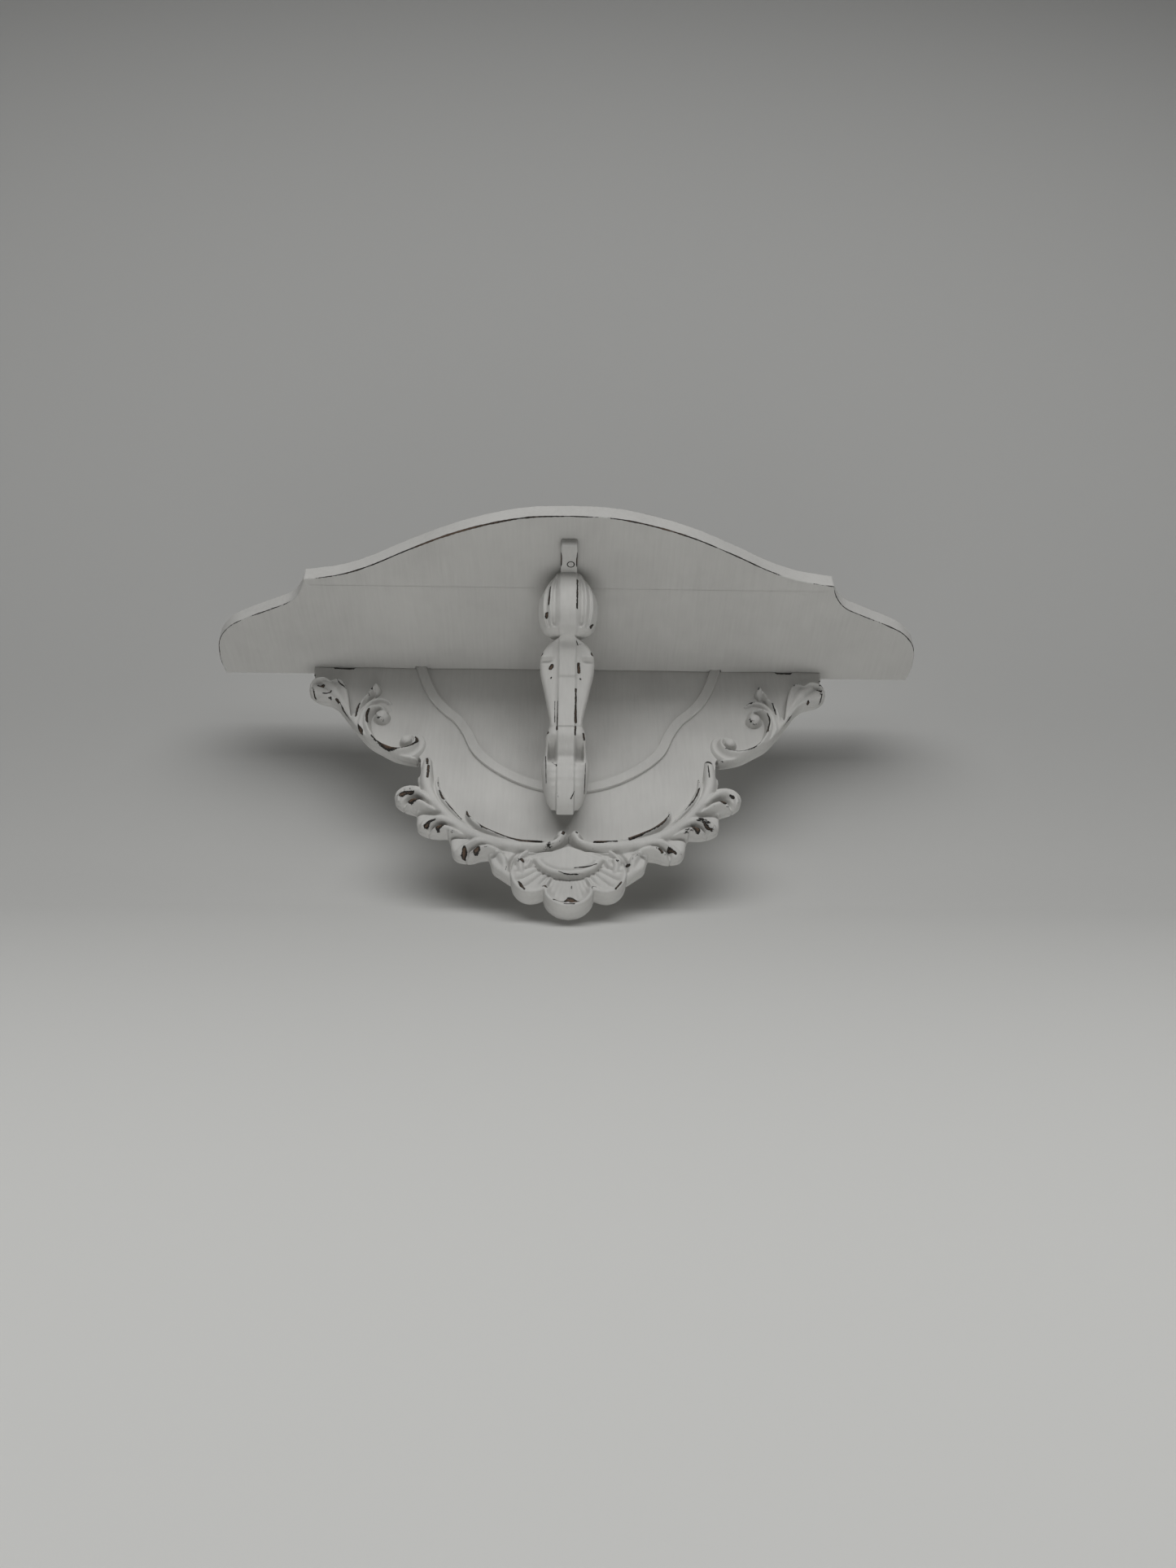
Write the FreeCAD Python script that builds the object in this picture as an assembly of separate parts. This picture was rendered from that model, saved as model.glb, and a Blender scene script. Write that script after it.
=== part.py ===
import FreeCAD, Part

import math
import os

# Small wall console: a curved top board on a carved back plate, held up at the front by one
# S-shaped console leg. Millimetres. X runs along the wall, -Y comes out from the wall and +Z is up.
# The origin lies on the wall plane, midway between the entry holes of the two keyhole hangers.
# Heights written as "drop" are measured down from the underside of the board.

# ---- driving sizes -----------------------------------------------------------------------------
board_half_width = 279.5
board_depth = 166.5
board_thickness = 12.5
board_edge_round = 1.2
cusp_share_x = 0.7166          # where the sharp corner stands along the half width
cusp_share_y = 0.6186          # and how far out from the wall it stands

plate_thickness = 8.5
plate_half_width = 206.5
plate_height = 234.5
ornament_depth = 20.0
stem_width = 11.0
band_width = 6.6
band_proud = 1.4

tongue_set_back = 20.5         # tip of the tongue behind the front edge of the board
foot_clearance = 78.0          # end of the foot above the tip of the plate
leg_band_width = 12.0
leg_band_proud = 1.6
tongue_thickness = 8.0
knee_half_width = 22.0
leaf_half_width = 20.0
shin_half_width = 12.5
foot_half_width = 15.5

hanger_inset = 26.5            # hanger middle in from the side of the plate
hanger_width = 14.0
hanger_length = 32.0
hanger_thickness = 1.5
hanger_top_drop = 2.0
entry_hole_radius = 4.0
entry_from_top = 20.0          # entry hole centre below the top of the hanger
slot_half_width = 1.9
slot_rise = 8.0
head_pocket_radius = 4.8
head_pocket_depth = 4.0        # behind the steel plate
edge_notch_height = 1.5

screw_shank_radius = 1.5
screw_head_radius = 3.0
screw_head_height = 2.0
hanger_screw_shank_radius = 1.2
hanger_screw_head_radius = 2.4
hanger_screw_head_height = 1.2
hanger_screw_length = 6.5
hanger_screw_inset = 4.0       # from each end of the hanger
recess_depth = 0.8
recess_arm = 1.7
recess_slot = 0.55
board_screw_length = 34.0
board_screw_spacing = 130.0
tongue_screw_length = 16.0
tongue_screw_set_back = 17.5   # behind the tip of the tongue
foot_screw_length = 28.0
foot_screw_rise = 13.0         # lower screw above the end of the foot
foot_screw_pitch = 20.0

# ---- sizes that follow from them ---------------------------------------------------------------
leg_reach = board_depth - tongue_set_back
leg_height = plate_height - foot_clearance
hanger_half_spacing = plate_half_width - hanger_inset
entry_drop = hanger_top_drop + entry_from_top
underside = entry_drop         # height of the board's underside above the entry holes
V = FreeCAD.Vector


# ---- small makers ------------------------------------------------------------------------------
def at(x, y, drop):
    """Point at a drop below the underside of the board."""
    return V(x, y, underside - drop)


def spline(points):
    """Smooth edge through the points."""
    curve = Part.BSplineCurve()
    curve.interpolate(points)
    return curve.toShape()


def slab(edges, direction):
    """Closed outline pushed along a direction."""
    return Part.Face(Part.Wire(edges)).extrude(direction)


def front_slab(points, depth):
    """Straight-sided outline on the wall plane, brought out by a depth."""
    wire = Part.makePolygon(points + [points[0]])
    return Part.Face(wire).extrude(V(0, -depth, 0))


def disc(x, drop, radius, depth):
    """Round boss from the wall plane outwards."""
    return Part.makeCylinder(radius, depth, at(x, 0, drop), V(0, -1, 0))


def strip(points, width, depth):
    """Band of even width that follows a smooth line on the wall plane."""
    line = Part.BSplineCurve()
    line.interpolate(points)
    steps = 4 * len(points)
    sides = {1: [], -1: []}
    for step in range(steps + 1):
        place = line.FirstParameter + (line.LastParameter - line.FirstParameter) * step / steps
        along = line.tangent(place)[0]
        across = V(-along.z, 0, along.x)
        for side in sides:
            sides[side].append(line.value(place) + across * (side * width / 2))
    edges = [
        spline(sides[1]),
        Part.makeLine(sides[1][-1], sides[-1][-1]),
        spline(sides[-1]),
        Part.makeLine(sides[-1][0], sides[1][0]),
    ]
    return slab(edges, V(0, -depth, 0))


def mirrored(shape):
    """The same shape on the other side of the middle plane."""
    return shape.mirror(V(0, 0, 0), V(1, 0, 0))


def both_sides(shapes):
    """Each shape and its mirror image."""
    return shapes + [mirrored(shape) for shape in shapes]


def countersunk_blank(length, shank, head, head_height):
    """Screw without its recess: flush cone head at the origin, point down the Z axis."""
    point = 2 * shank
    cone = Part.makeCone(head, shank, head_height, V(0, 0, 0), V(0, 0, -1))
    straight = length - head_height - point
    body = Part.makeCylinder(shank, straight, V(0, 0, -head_height), V(0, 0, -1))
    tip = Part.makeCone(shank, 0, point, V(0, 0, -head_height - straight), V(0, 0, -1))
    return cone.fuse([body, tip]).removeSplitter()


def cross_recess(head):
    """Two crossed slots in the top of a screw head."""
    arm = recess_arm * head / screw_head_radius
    slots = []
    for long_x, long_y in ((arm, recess_slot), (recess_slot, arm)):
        corner = V(-long_x, -long_y, -recess_depth)
        slots.append(Part.makeBox(2 * long_x, 2 * long_y, 2 * recess_depth, corner))
    return slots[0].fuse(slots[1])


def placed(shape, point, direction):
    """Turn a screw so that it points along the direction, with its head at the point."""
    copy = shape.copy()
    copy.Placement = FreeCAD.Placement(point, FreeCAD.Rotation(V(0, 0, -1), direction))
    return copy


def screws(points, direction, length, shank, head, head_height):
    """Screws at the points, and the same number of plain blanks that cut their holes."""
    blank = countersunk_blank(length, shank, head, head_height)
    screw = blank.cut(cross_recess(head))
    made = [placed(screw, point, direction) for point in points]
    holes = [placed(blank, point, direction) for point in points]
    return made, holes


def write(name, shape):
    shape.exportStep("parts/" + name + ".step")


# ---- top board ---------------------------------------------------------------------------------
def make_board():
    """Board with a bowed front, a sharp corner each side and ogee shoulders to the wall."""
    cusp_x = board_half_width * cusp_share_x
    cusp_y = -board_depth * cusp_share_y
    shoulder_width = board_half_width - cusp_x

    def shoulder(across, out):
        return at(cusp_x + shoulder_width * across, cusp_y * out, 0)

    def bow(along, out):
        return at(cusp_x * along, cusp_y - (board_depth + cusp_y) * out, 0)

    shoulder_points = [
        shoulder(1.0, 0.0),
        shoulder(1.02, 0.14),
        shoulder(0.97, 0.37),
        shoulder(0.83, 0.515),
        shoulder(0.63, 0.61),
        shoulder(0.38, 0.70),
        shoulder(0.16, 0.79),
        shoulder(0.05, 0.90),
        shoulder(0.0, 1.0),
    ]
    half_bow = [(0.95, 0.024), (0.85, 0.094), (0.75, 0.22), (0.60, 0.47), (0.45, 0.70), (0.30, 0.87), (0.15, 0.976)]
    bow_points = [shoulder(0.0, 1.0)]
    bow_points += [bow(along, out) for along, out in half_bow]
    bow_points += [bow(0.0, 1.0)]
    bow_points += [bow(-along, out) for along, out in reversed(half_bow)]
    bow_points += [V(-cusp_x, cusp_y, underside)]
    right = spline(shoulder_points)
    left = mirrored(right)
    edges = [right, spline(bow_points), left, Part.makeLine(at(-board_half_width, 0, 0), at(board_half_width, 0, 0))]
    board = slab(Part.__sortEdges__(edges), V(0, 0, board_thickness))
    rounded = [
        edge
        for edge in board.Edges
        if edge.BoundBox.ZLength < 0.01 and edge.BoundBox.YLength > 1.0
    ]
    return board.makeFillet(board_edge_round, rounded)


# ---- back plate --------------------------------------------------------------------------------
def make_plate():
    """Flat field with carved leaves, scrolls, fronds and a shell round its lower edge."""
    across = plate_half_width / 206.5
    down = plate_height / 234.5

    def spot(x, drop):
        return at(x * across, 0, drop * down)

    def boss(x, drop, radius, depth):
        return disc(x * across, drop * down, radius, depth)

    field_half = [spot(206.5, 0), spot(200, 20), spot(176, 50), spot(160, 74), spot(140, 88), spot(113, 94),
                  spot(111, 125), spot(100, 148), spot(70, 172), spot(30, 190), spot(0, 200)]
    other_half = [V(-p.x, p.y, p.z) for p in reversed(field_half[:-1])]
    field = front_slab(field_half + other_half, plate_thickness)

    arch = [spot(117, 0), spot(113, 16), spot(105, 33), spot(94, 47), spot(86, 54), spot(78, 68),
            spot(70, 88), spot(54, 106), spot(36, 118), spot(18, 124), spot(0, 126)]
    arch_band = strip(arch, band_width, plate_thickness + band_proud)

    big_leaf_outline = [spot(172, 52), spot(174, 36), spot(184, 22), spot(198, 21), spot(206.5, 30),
                        spot(203, 38), spot(188, 42), spot(172, 58), spot(162, 74), spot(152, 86), spot(148, 80)]
    big_leaf_edge = spline(big_leaf_outline)
    big_leaf = slab([big_leaf_edge, Part.makeLine(big_leaf_outline[-1], big_leaf_outline[0])],
                    V(0, -ornament_depth, 0))
    small_leaf = strip([spot(163, 62), spot(165, 50), spot(159, 34)], 12.0, ornament_depth - 4)
    scroll = strip([spot(149, 57), spot(157, 66), spot(153, 82), spot(140, 92), spot(126, 93), spot(117, 88)],
                   9.0, ornament_depth)
    volutes = [boss(147, 63, 6.5, ornament_depth - 2), boss(120, 86, 7.0, ornament_depth)]
    stem = strip([spot(107, 97), spot(106.4, 118), spot(98, 140), spot(85, 157), spot(68, 171), spot(46, 181),
                  spot(24, 184), spot(5, 178)], stem_width, ornament_depth)
    frond_bed = strip([spot(112, 124), spot(98, 147), spot(76, 166), spot(51, 182), spot(20, 195)], 19.0,
                      ornament_depth - 6)
    lobes = [boss(118, 136, 11.5, ornament_depth - 1), boss(99, 154.5, 12.0, ornament_depth - 1),
             boss(73, 175.5, 12.0, ornament_depth - 1), boss(44, 191.0, 12.0, ornament_depth - 1),
             boss(28, 209.7, 12.3, ornament_depth - 2)]
    side_pieces = [big_leaf, small_leaf, scroll, stem, frond_bed] + volutes + lobes
    half_band = both_sides([arch_band])

    centre_lobe = boss(0, 234.5 - 17.0 / down, 17.0, ornament_depth - 2)
    shell = front_slab([spot(-40, 186), spot(0, 180), spot(40, 186), spot(28, 212), spot(0, 222), spot(-28, 212)],
                       ornament_depth - 4)
    almond_edges = [
        Part.Arc(spot(-25, 196), spot(0, 184), spot(25, 196)).toShape(),
        Part.Arc(spot(25, 196), spot(0, 208), spot(-25, 196)).toShape(),
    ]
    almond = slab(almond_edges, V(0, -ornament_depth, 0))
    plate = field.fuse(half_band + both_sides(side_pieces) + [centre_lobe, shell, almond])
    return plate.removeSplitter()


# ---- console leg -------------------------------------------------------------------------------
def make_leg():
    """S-shaped leg: a tongue under the board, a leafed knee, a tapering shin and a scrolled foot."""
    reach = (leg_reach - plate_thickness) / 137.5
    fall = leg_height / 156.5

    # Front and back point of each cross-section, as reach from the plate and drop, with the half
    # width of the carving there. They run from the top of the knee to the end of the foot.
    knee, leaf, shin, foot = knee_half_width, leaf_half_width, shin_half_width, foot_half_width
    sections = [
        ((110.5, 6), (78.5, 1), knee * 0.55),
        ((112.5, 19), (76.5, 9), knee * 0.86),
        ((112.5, 31), (74.5, 18), knee * 0.99),
        ((107.0, 42), (72.5, 26), knee),
        ((99.0, 48.5), (70.5, 32), knee * 0.8),
        ((90.5, 50.5), (68.0, 38), leg_band_width * 0.55),
        ((83.0, 50.5), (64.5, 44), leaf * 0.72),
        ((77.5, 57), (60.0, 50), leaf * 0.98),
        ((70.5, 66), (54.5, 58), leaf),
        ((60.5, 83), (44.5, 72), leaf * 0.84),
        ((51.0, 103), (33.5, 91), shin),
        ((46.5, 110), (27.5, 99), shin * 1.14),
        ((39.0, 115), (20.0, 105), shin * 1.05),
        ((35.0, 121), (11.0, 109), foot * 0.93),
        ((38.0, 130), (3.0, 113), foot),
        ((37.5, 139), (-2.0, 122), foot * 0.97),
        ((33.0, 147), (-2.0, 130), foot * 0.9),
        ((26.0, 153), (-2.0, 138), foot * 0.82),
        ((17.0, 156.5), (-2.0, 145), foot * 0.7),
    ]

    def ring(front, back, half, front_taper):
        """Eight-sided cross-section from the front point to the back point."""
        f = at(0, -(plate_thickness + front[0] * reach), front[1] * fall)
        b = at(0, -(plate_thickness + back[0] * reach), back[1] * fall)
        shape = [(front_taper, 1.0), (1.0, 0.72), (1.0, 0.3), (0.6, 0.0)]
        right = [b + (f - b) * depth + V(half * share, 0, 0) for share, depth in shape]
        left = [V(-p.x, p.y, p.z) for p in reversed(right)]
        points = right + left
        return Part.makePolygon(points + [points[0]])

    carved = Part.makeLoft([ring(*section, 0.6) for section in sections], True, True)

    def proud(front, back):
        """Front point moved out from the back point by the height of the plain band."""
        run = math.hypot(front[0] - back[0], front[1] - back[1])
        grow = 1 + leg_band_proud / run
        return (back[0] + (front[0] - back[0]) * grow, back[1] + (front[1] - back[1]) * grow)

    half_band = leg_band_width / 2
    band_rings = [ring(proud(front, back), back, half_band, 1.0) for front, back, _ in sections]
    centre_band = Part.makeLoft(band_rings, True, True)
    tongue_back = plate_thickness + sections[0][1][0] * reach
    tongue = Part.makeBox(leg_band_width, leg_reach - tongue_back, tongue_thickness,
                          at(-half_band, -leg_reach, tongue_thickness))
    return tongue.fuse([carved, centre_band]).removeSplitter()


# ---- keyhole hangers ---------------------------------------------------------------------------
def hanger_outline(x, width, top_drop, length, depth, start):
    """Round-ended plate that stands upright, from a start depth outwards."""
    radius = width / 2
    top = at(x, -start, top_drop + radius)
    low = at(x, -start, top_drop + length - radius)
    sides = V(radius, 0, 0)
    edges = [
        Part.Arc(top + sides, top + V(0, 0, radius), top - sides).toShape(),
        Part.makeLine(top - sides, low - sides),
        Part.Arc(low - sides, low - V(0, 0, radius), low + sides).toShape(),
        Part.makeLine(low + sides, top + sides),
    ]
    return slab(edges, V(0, -depth, 0))


def make_hangers():
    """Each hanger's steel plate, the pockets it needs and its screws."""
    plates = {}
    pockets = []
    made = []
    holes = []
    for name, x in (("left", -hanger_half_spacing), ("right", hanger_half_spacing)):
        blank = hanger_outline(x, hanger_width, hanger_top_drop, hanger_length, hanger_thickness, 0)
        entry = Part.makeCylinder(entry_hole_radius, hanger_thickness, at(x, 0, entry_drop), V(0, -1, 0))
        slot = hanger_outline(x, 2 * slot_half_width, entry_drop - slot_rise - slot_half_width,
                              slot_rise + slot_half_width, hanger_thickness, 0)
        head_room = hanger_outline(x, 2 * head_pocket_radius, entry_drop - slot_rise - head_pocket_radius,
                                   slot_rise + 2 * head_pocket_radius, head_pocket_depth, hanger_thickness)
        notch = Part.makeBox(hanger_width, 4 * plate_thickness, 2 * edge_notch_height,
                             at(x - hanger_width / 2, -3 * plate_thickness, edge_notch_height))
        ends = (hanger_top_drop + hanger_screw_inset, hanger_top_drop + hanger_length - hanger_screw_inset)
        points = [at(x, 0, drop) for drop in ends]
        pair, blanks = screws(points, V(0, -1, 0), hanger_screw_length, hanger_screw_shank_radius,
                              hanger_screw_head_radius, hanger_screw_head_height)
        made += pair
        holes += blanks
        pockets += [blank, head_room, notch]
        plates[name] = blank.cut([entry, slot] + blanks)
    return plates, pockets, made, holes


# ---- putting it together -----------------------------------------------------------------------
os.makedirs("parts", exist_ok=True)

board = make_board()
plate = make_plate().cut(board)
leg = make_leg().cut(plate)

hanger_plates, hanger_pockets, hanger_screws, hanger_holes = make_hangers()

board_screw_points = [
    V(x, -plate_thickness / 2, underside + board_thickness)
    for x in (-board_screw_spacing, 0, board_screw_spacing)
]
board_screws, board_holes = screws(board_screw_points, V(0, 0, -1), board_screw_length,
                                   screw_shank_radius, screw_head_radius, screw_head_height)

tongue_screw_point = at(0, tongue_screw_set_back - leg_reach, tongue_thickness)
tongue_screw, tongue_hole = screws([tongue_screw_point], V(0, 0, 1), tongue_screw_length,
                                   screw_shank_radius, screw_head_radius, screw_head_height)

foot_screw_points = [at(0, 0, leg_height - foot_screw_rise - step * foot_screw_pitch) for step in (0, 1)]
foot_screws, foot_holes = screws(foot_screw_points, V(0, -1, 0), foot_screw_length,
                                 screw_shank_radius, screw_head_radius, screw_head_height)

board = board.cut(board_holes + tongue_hole)
plate = plate.cut(board_holes + foot_holes + hanger_pockets + hanger_holes)
leg = leg.cut(tongue_hole + foot_holes)

write("shelf_board", board)
write("back_plate", plate)
write("console_leg", leg)
write("board_screws", Part.makeCompound(board_screws))
write("tongue_screw", tongue_screw[0])
write("foot_screws", Part.makeCompound(foot_screws))
write("keyhole_hanger_left", hanger_plates["left"])
write("keyhole_hanger_right", hanger_plates["right"])
write("hanger_screws", Part.makeCompound(hanger_screws))

for name, shape in (("board", board), ("plate", plate), ("leg", leg)):
    box = shape.BoundBox
    print(name, len(shape.Solids), "solid", shape.isValid(), round(shape.Volume), "mm3",
          round(box.XLength, 1), round(box.YLength, 1), round(box.ZLength, 1))
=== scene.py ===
import bpy
import numpy as np
from mathutils import Matrix, Vector


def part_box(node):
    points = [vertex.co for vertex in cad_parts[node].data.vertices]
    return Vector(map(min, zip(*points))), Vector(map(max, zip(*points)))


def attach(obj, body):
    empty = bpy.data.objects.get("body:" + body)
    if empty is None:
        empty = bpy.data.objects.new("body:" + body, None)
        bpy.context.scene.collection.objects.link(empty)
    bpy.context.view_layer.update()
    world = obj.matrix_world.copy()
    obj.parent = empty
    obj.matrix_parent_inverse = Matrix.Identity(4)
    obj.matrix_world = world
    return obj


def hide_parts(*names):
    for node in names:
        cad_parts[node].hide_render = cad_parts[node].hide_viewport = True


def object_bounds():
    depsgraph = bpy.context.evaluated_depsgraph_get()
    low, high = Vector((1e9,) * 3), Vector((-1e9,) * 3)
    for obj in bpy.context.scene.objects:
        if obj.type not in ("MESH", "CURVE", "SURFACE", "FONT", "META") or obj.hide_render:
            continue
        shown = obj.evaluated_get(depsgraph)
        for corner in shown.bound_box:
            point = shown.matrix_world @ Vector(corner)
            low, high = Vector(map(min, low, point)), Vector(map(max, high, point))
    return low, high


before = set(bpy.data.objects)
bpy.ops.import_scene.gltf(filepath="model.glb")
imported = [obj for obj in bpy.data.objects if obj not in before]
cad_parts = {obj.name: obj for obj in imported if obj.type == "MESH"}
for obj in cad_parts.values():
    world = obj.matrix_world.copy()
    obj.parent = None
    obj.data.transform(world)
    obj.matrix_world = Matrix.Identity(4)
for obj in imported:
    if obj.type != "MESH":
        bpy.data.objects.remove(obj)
cad_low, cad_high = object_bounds()

# ---------------------------------------------------------------------------
# The shelf board: one flat piece of softwood with a bow front and two pointed
# ears, its edges eased with sandpaper. It is brushed with off-white chalk
# paint and then rubbed, so that the dark stain shows along its edges.
# ---------------------------------------------------------------------------
MM = 0.001

board_low, board_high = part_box("shelf_board")
board_under = board_low.z / MM
screws_proud = 0.1                      # the screw heads in the top stand this far out of the paint
board_thickness = (board_high.z - board_low.z) / MM - screws_proud
board_depth = -board_low.y / MM
ear_x, ear_depth = 200.3, 103.0         # the pointed ears, where bow and shoulder meet
end_x = 279.5                           # the straight ends at the wall
arris_radius = 1.1
knock_x, knock_spread = -65.0, 38.0     # where the lower edge is knocked and sanded most


class Amount:
    """A number that varies over a surface, held as a node's output. Sums, differences and
    products of amounts, and of amounts and numbers, add Math nodes."""

    def __init__(self, finish, socket):
        self.finish = finish
        self.socket = socket

    def _maths(self, operation, first, second):
        return self.finish.node("ShaderNodeMath", {"operation": operation}, {0: first, 1: second})

    def __add__(self, other):
        return self._maths("ADD", self, other)

    def __sub__(self, other):
        return self._maths("SUBTRACT", self, other)

    def __rsub__(self, other):
        return self._maths("SUBTRACT", other, self)

    def __mul__(self, other):
        return self._maths("MULTIPLY", self, other)

    __radd__ = __add__
    __rmul__ = __mul__

    def rise(self, low, high):
        """0 below low, 1 above high, and a smooth step between them."""
        return self.finish.node(
            "ShaderNodeMapRange", {"interpolation_type": "SMOOTHSTEP"},
            {"Value": self, "From Min": low, "From Max": high})


class Finish:
    """One material. node() takes a node's type, its settings, which are set first, and the
    values or links of its sockets, and gives back one of its outputs."""

    def __init__(self, name):
        self.material = bpy.data.materials.new(name)
        self.material.use_nodes = True
        self.tree = self.material.node_tree
        self.shader = self.tree.nodes["Principled BSDF"]

    def join(self, socket, value):
        if isinstance(value, Amount):
            self.tree.links.new(value.socket, socket)
        else:
            socket.default_value = value

    def node(self, kind, settings=None, sockets=None, out=0):
        made = self.tree.nodes.new(kind)
        for name, value in (settings or {}).items():
            setattr(made, name, value)
        for name, value in (sockets or {}).items():
            self.join(made.inputs[name], value)
        return Amount(self, made.outputs[out])

    def noise(self, size, stretch=(1, 1, 1), detail=3.0, rough=0.55):
        """Cloudy noise whose blobs are about size metres across, squeezed by stretch."""
        where = self.node("ShaderNodeTexCoord", out="Object")
        place = self.node("ShaderNodeMapping", {}, {"Vector": where, "Scale": stretch})
        return self.node("ShaderNodeTexNoise", {}, {
            "Vector": place, "Scale": 1 / size, "Detail": detail, "Roughness": rough})

    def mix(self, amount, first, second):
        """The first colour where amount is 0 and the second where it is 1."""
        return self.node("ShaderNodeMix", {"data_type": "RGBA"}, {0: amount, 6: first, 7: second}, out=2)

    def bump(self, height, depth, under=None):
        sockets = {"Height": height, "Distance": depth, "Strength": 1.0}
        if under is not None:
            sockets["Normal"] = under
        return self.node("ShaderNodeBump", {}, sockets)


PAINT_LIGHT = (0.555, 0.55, 0.53, 1)
PAINT_GREY = (0.445, 0.44, 0.425, 1)
STAIN_OR_SHADE_DARK = (0.012, 0.010, 0.008, 1)
WOOD_BROWN = (0.105, 0.068, 0.046, 1)


def chalk_paint(name, strokes, ragged=1.0):
    """Brushed chalk paint, rubbed through. The brush strokes run along the direction in which
    strokes squeezes the noise least. The piece's own wear layer says where it is rubbed, and on the
    plate's
    two slits where shade is painted: past a limit, more or less ragged, it turns to dark stain, which on
    the slits is painted shade, and past a further one to bare wood."""
    finish = Finish(name)
    cloud = finish.noise(0.045)
    brush = finish.noise(0.0022, strokes, detail=4.0, rough=0.65)
    grain = finish.noise(0.0009, detail=3.0, rough=0.6)
    worn_or_shaded = finish.node("ShaderNodeAttribute", {"attribute_name": "worn_or_shaded"}, out="Fac")
    patch = finish.noise(0.011, detail=2.0)
    fray = finish.noise(0.0019, detail=4.0, rough=0.75)
    crumb = finish.noise(0.0008, detail=2.0)
    wear_or_shade = worn_or_shaded + (patch - 0.5) * (0.9 * ragged) + (fray - 0.5) * (0.85 * ragged)
    stained_or_shaded = wear_or_shade.rise(0.79, 0.84)
    bare = (wear_or_shade + (crumb - 0.5) * 1.1).rise(1.16, 1.34)
    tone = (cloud - 0.5) * 0.9 + (brush - 0.5) * 0.55 + 0.35
    paint = finish.mix(tone.rise(0.0, 1.0), PAINT_LIGHT, PAINT_GREY)
    stain = finish.mix(bare, STAIN_OR_SHADE_DARK, WOOD_BROWN)
    finish.join(finish.shader.inputs["Base Color"], finish.mix(stained_or_shaded, paint, stain))
    finish.join(finish.shader.inputs["Roughness"], 0.78 - stained_or_shaded * 0.22 + (grain - 0.5) * 0.10)
    fine = finish.bump(brush * 0.8 + grain * 0.5, 0.00022)
    finish.join(finish.shader.inputs["Normal"], finish.bump(1.0 - stained_or_shaded, 0.00025, under=fine))
    finish.shader.inputs["Specular IOR Level"].default_value = 0.35
    return finish.material


def smooth_line(points, step):
    """A line through the points: between each two a cubic whose slope at a point is along the
    chord between its two neighbours, walked in even steps of about the given length."""
    points = np.asarray(points, float)
    chord = np.linalg.norm(np.diff(points, axis=0), axis=1)
    knot = np.r_[0, np.cumsum(np.sqrt(chord))]
    slope = np.gradient(points, knot, axis=0)
    fine = np.linspace(0, 1, 25)[:-1, None]
    parts = []
    for i, width in enumerate(np.diff(knot)):
        parts.append(points[i] * (1 + 2 * fine) * (1 - fine) ** 2
                     + slope[i] * width * fine * (1 - fine) ** 2
                     + points[i + 1] * fine ** 2 * (3 - 2 * fine)
                     - slope[i + 1] * width * fine ** 2 * (1 - fine))
    dense = np.vstack(parts + [points[-1:]])
    run = np.r_[0, np.cumsum(np.linalg.norm(np.diff(dense, axis=0), axis=1))]
    even = np.linspace(0, run[-1], max(2, int(round(run[-1] / step)) + 1))
    return np.stack([np.interp(even, run, dense[:, k]) for k in range(points.shape[1])], 1)


def add_piece(name, points, faces, finish, stands_for=(), worn_or_shaded=None):
    """Makes one piece from points in millimetres and lists of point numbers for its faces."""
    mesh = bpy.data.meshes.new(name)
    mesh.from_pydata((np.asarray(points) * MM).tolist(), [], faces)
    mesh.polygons.foreach_set("use_smooth", np.ones(len(mesh.polygons), bool))
    if worn_or_shaded is not None:
        layer = mesh.attributes.new("worn_or_shaded", "FLOAT", "POINT")
        layer.data.foreach_set("value", np.asarray(worn_or_shaded, np.float32).ravel())
    mesh.materials.append(finish)
    mesh.update()
    piece = bpy.data.objects.new(name, mesh)
    bpy.context.scene.collection.objects.link(piece)
    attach(piece, "root")
    if stands_for:
        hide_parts(*stands_for)
    return piece


def ring_faces(rings, around):
    """Quads between neighbouring rings of a grid whose points are numbered ring by ring."""
    here = np.arange(rings * around).reshape(rings, around)
    right = np.roll(here, -1, axis=1)
    quads = np.stack([here[:-1], right[:-1], right[1:], here[1:]], -1)
    return quads.reshape(-1, 4)


def board_outline():
    """Half the outline from the wall at the right to the middle of the front, then its mirror
    image: a shoulder that swings in to the pointed ear, and the long bow of the front."""
    shoulder = np.array([(1, 0), (1.02, .14), (.97, .37), (.83, .515), (.63, .61), (.38, .70),
                         (.16, .79), (.05, .90), (0, 1)])
    shoulder = np.stack([ear_x + (end_x - ear_x) * shoulder[:, 0], -ear_depth * shoulder[:, 1]], 1)
    bow = np.array([(1, 0), (.95, .024), (.85, .094), (.75, .22), (.60, .47), (.45, .70), (.30, .87),
                    (.15, .976), (0, 1)])
    bow = np.stack([ear_x * bow[:, 0], -ear_depth - (board_depth - ear_depth) * bow[:, 1]], 1)
    half = np.vstack([smooth_line(shoulder, 0.9)[:-1], smooth_line(bow, 0.9)])
    wall = np.stack([np.linspace(-end_x, end_x, 300)[1:-1], np.zeros(298)], 1)
    return np.vstack([half, (half * (-1, 1))[::-1][1:], wall])


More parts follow.
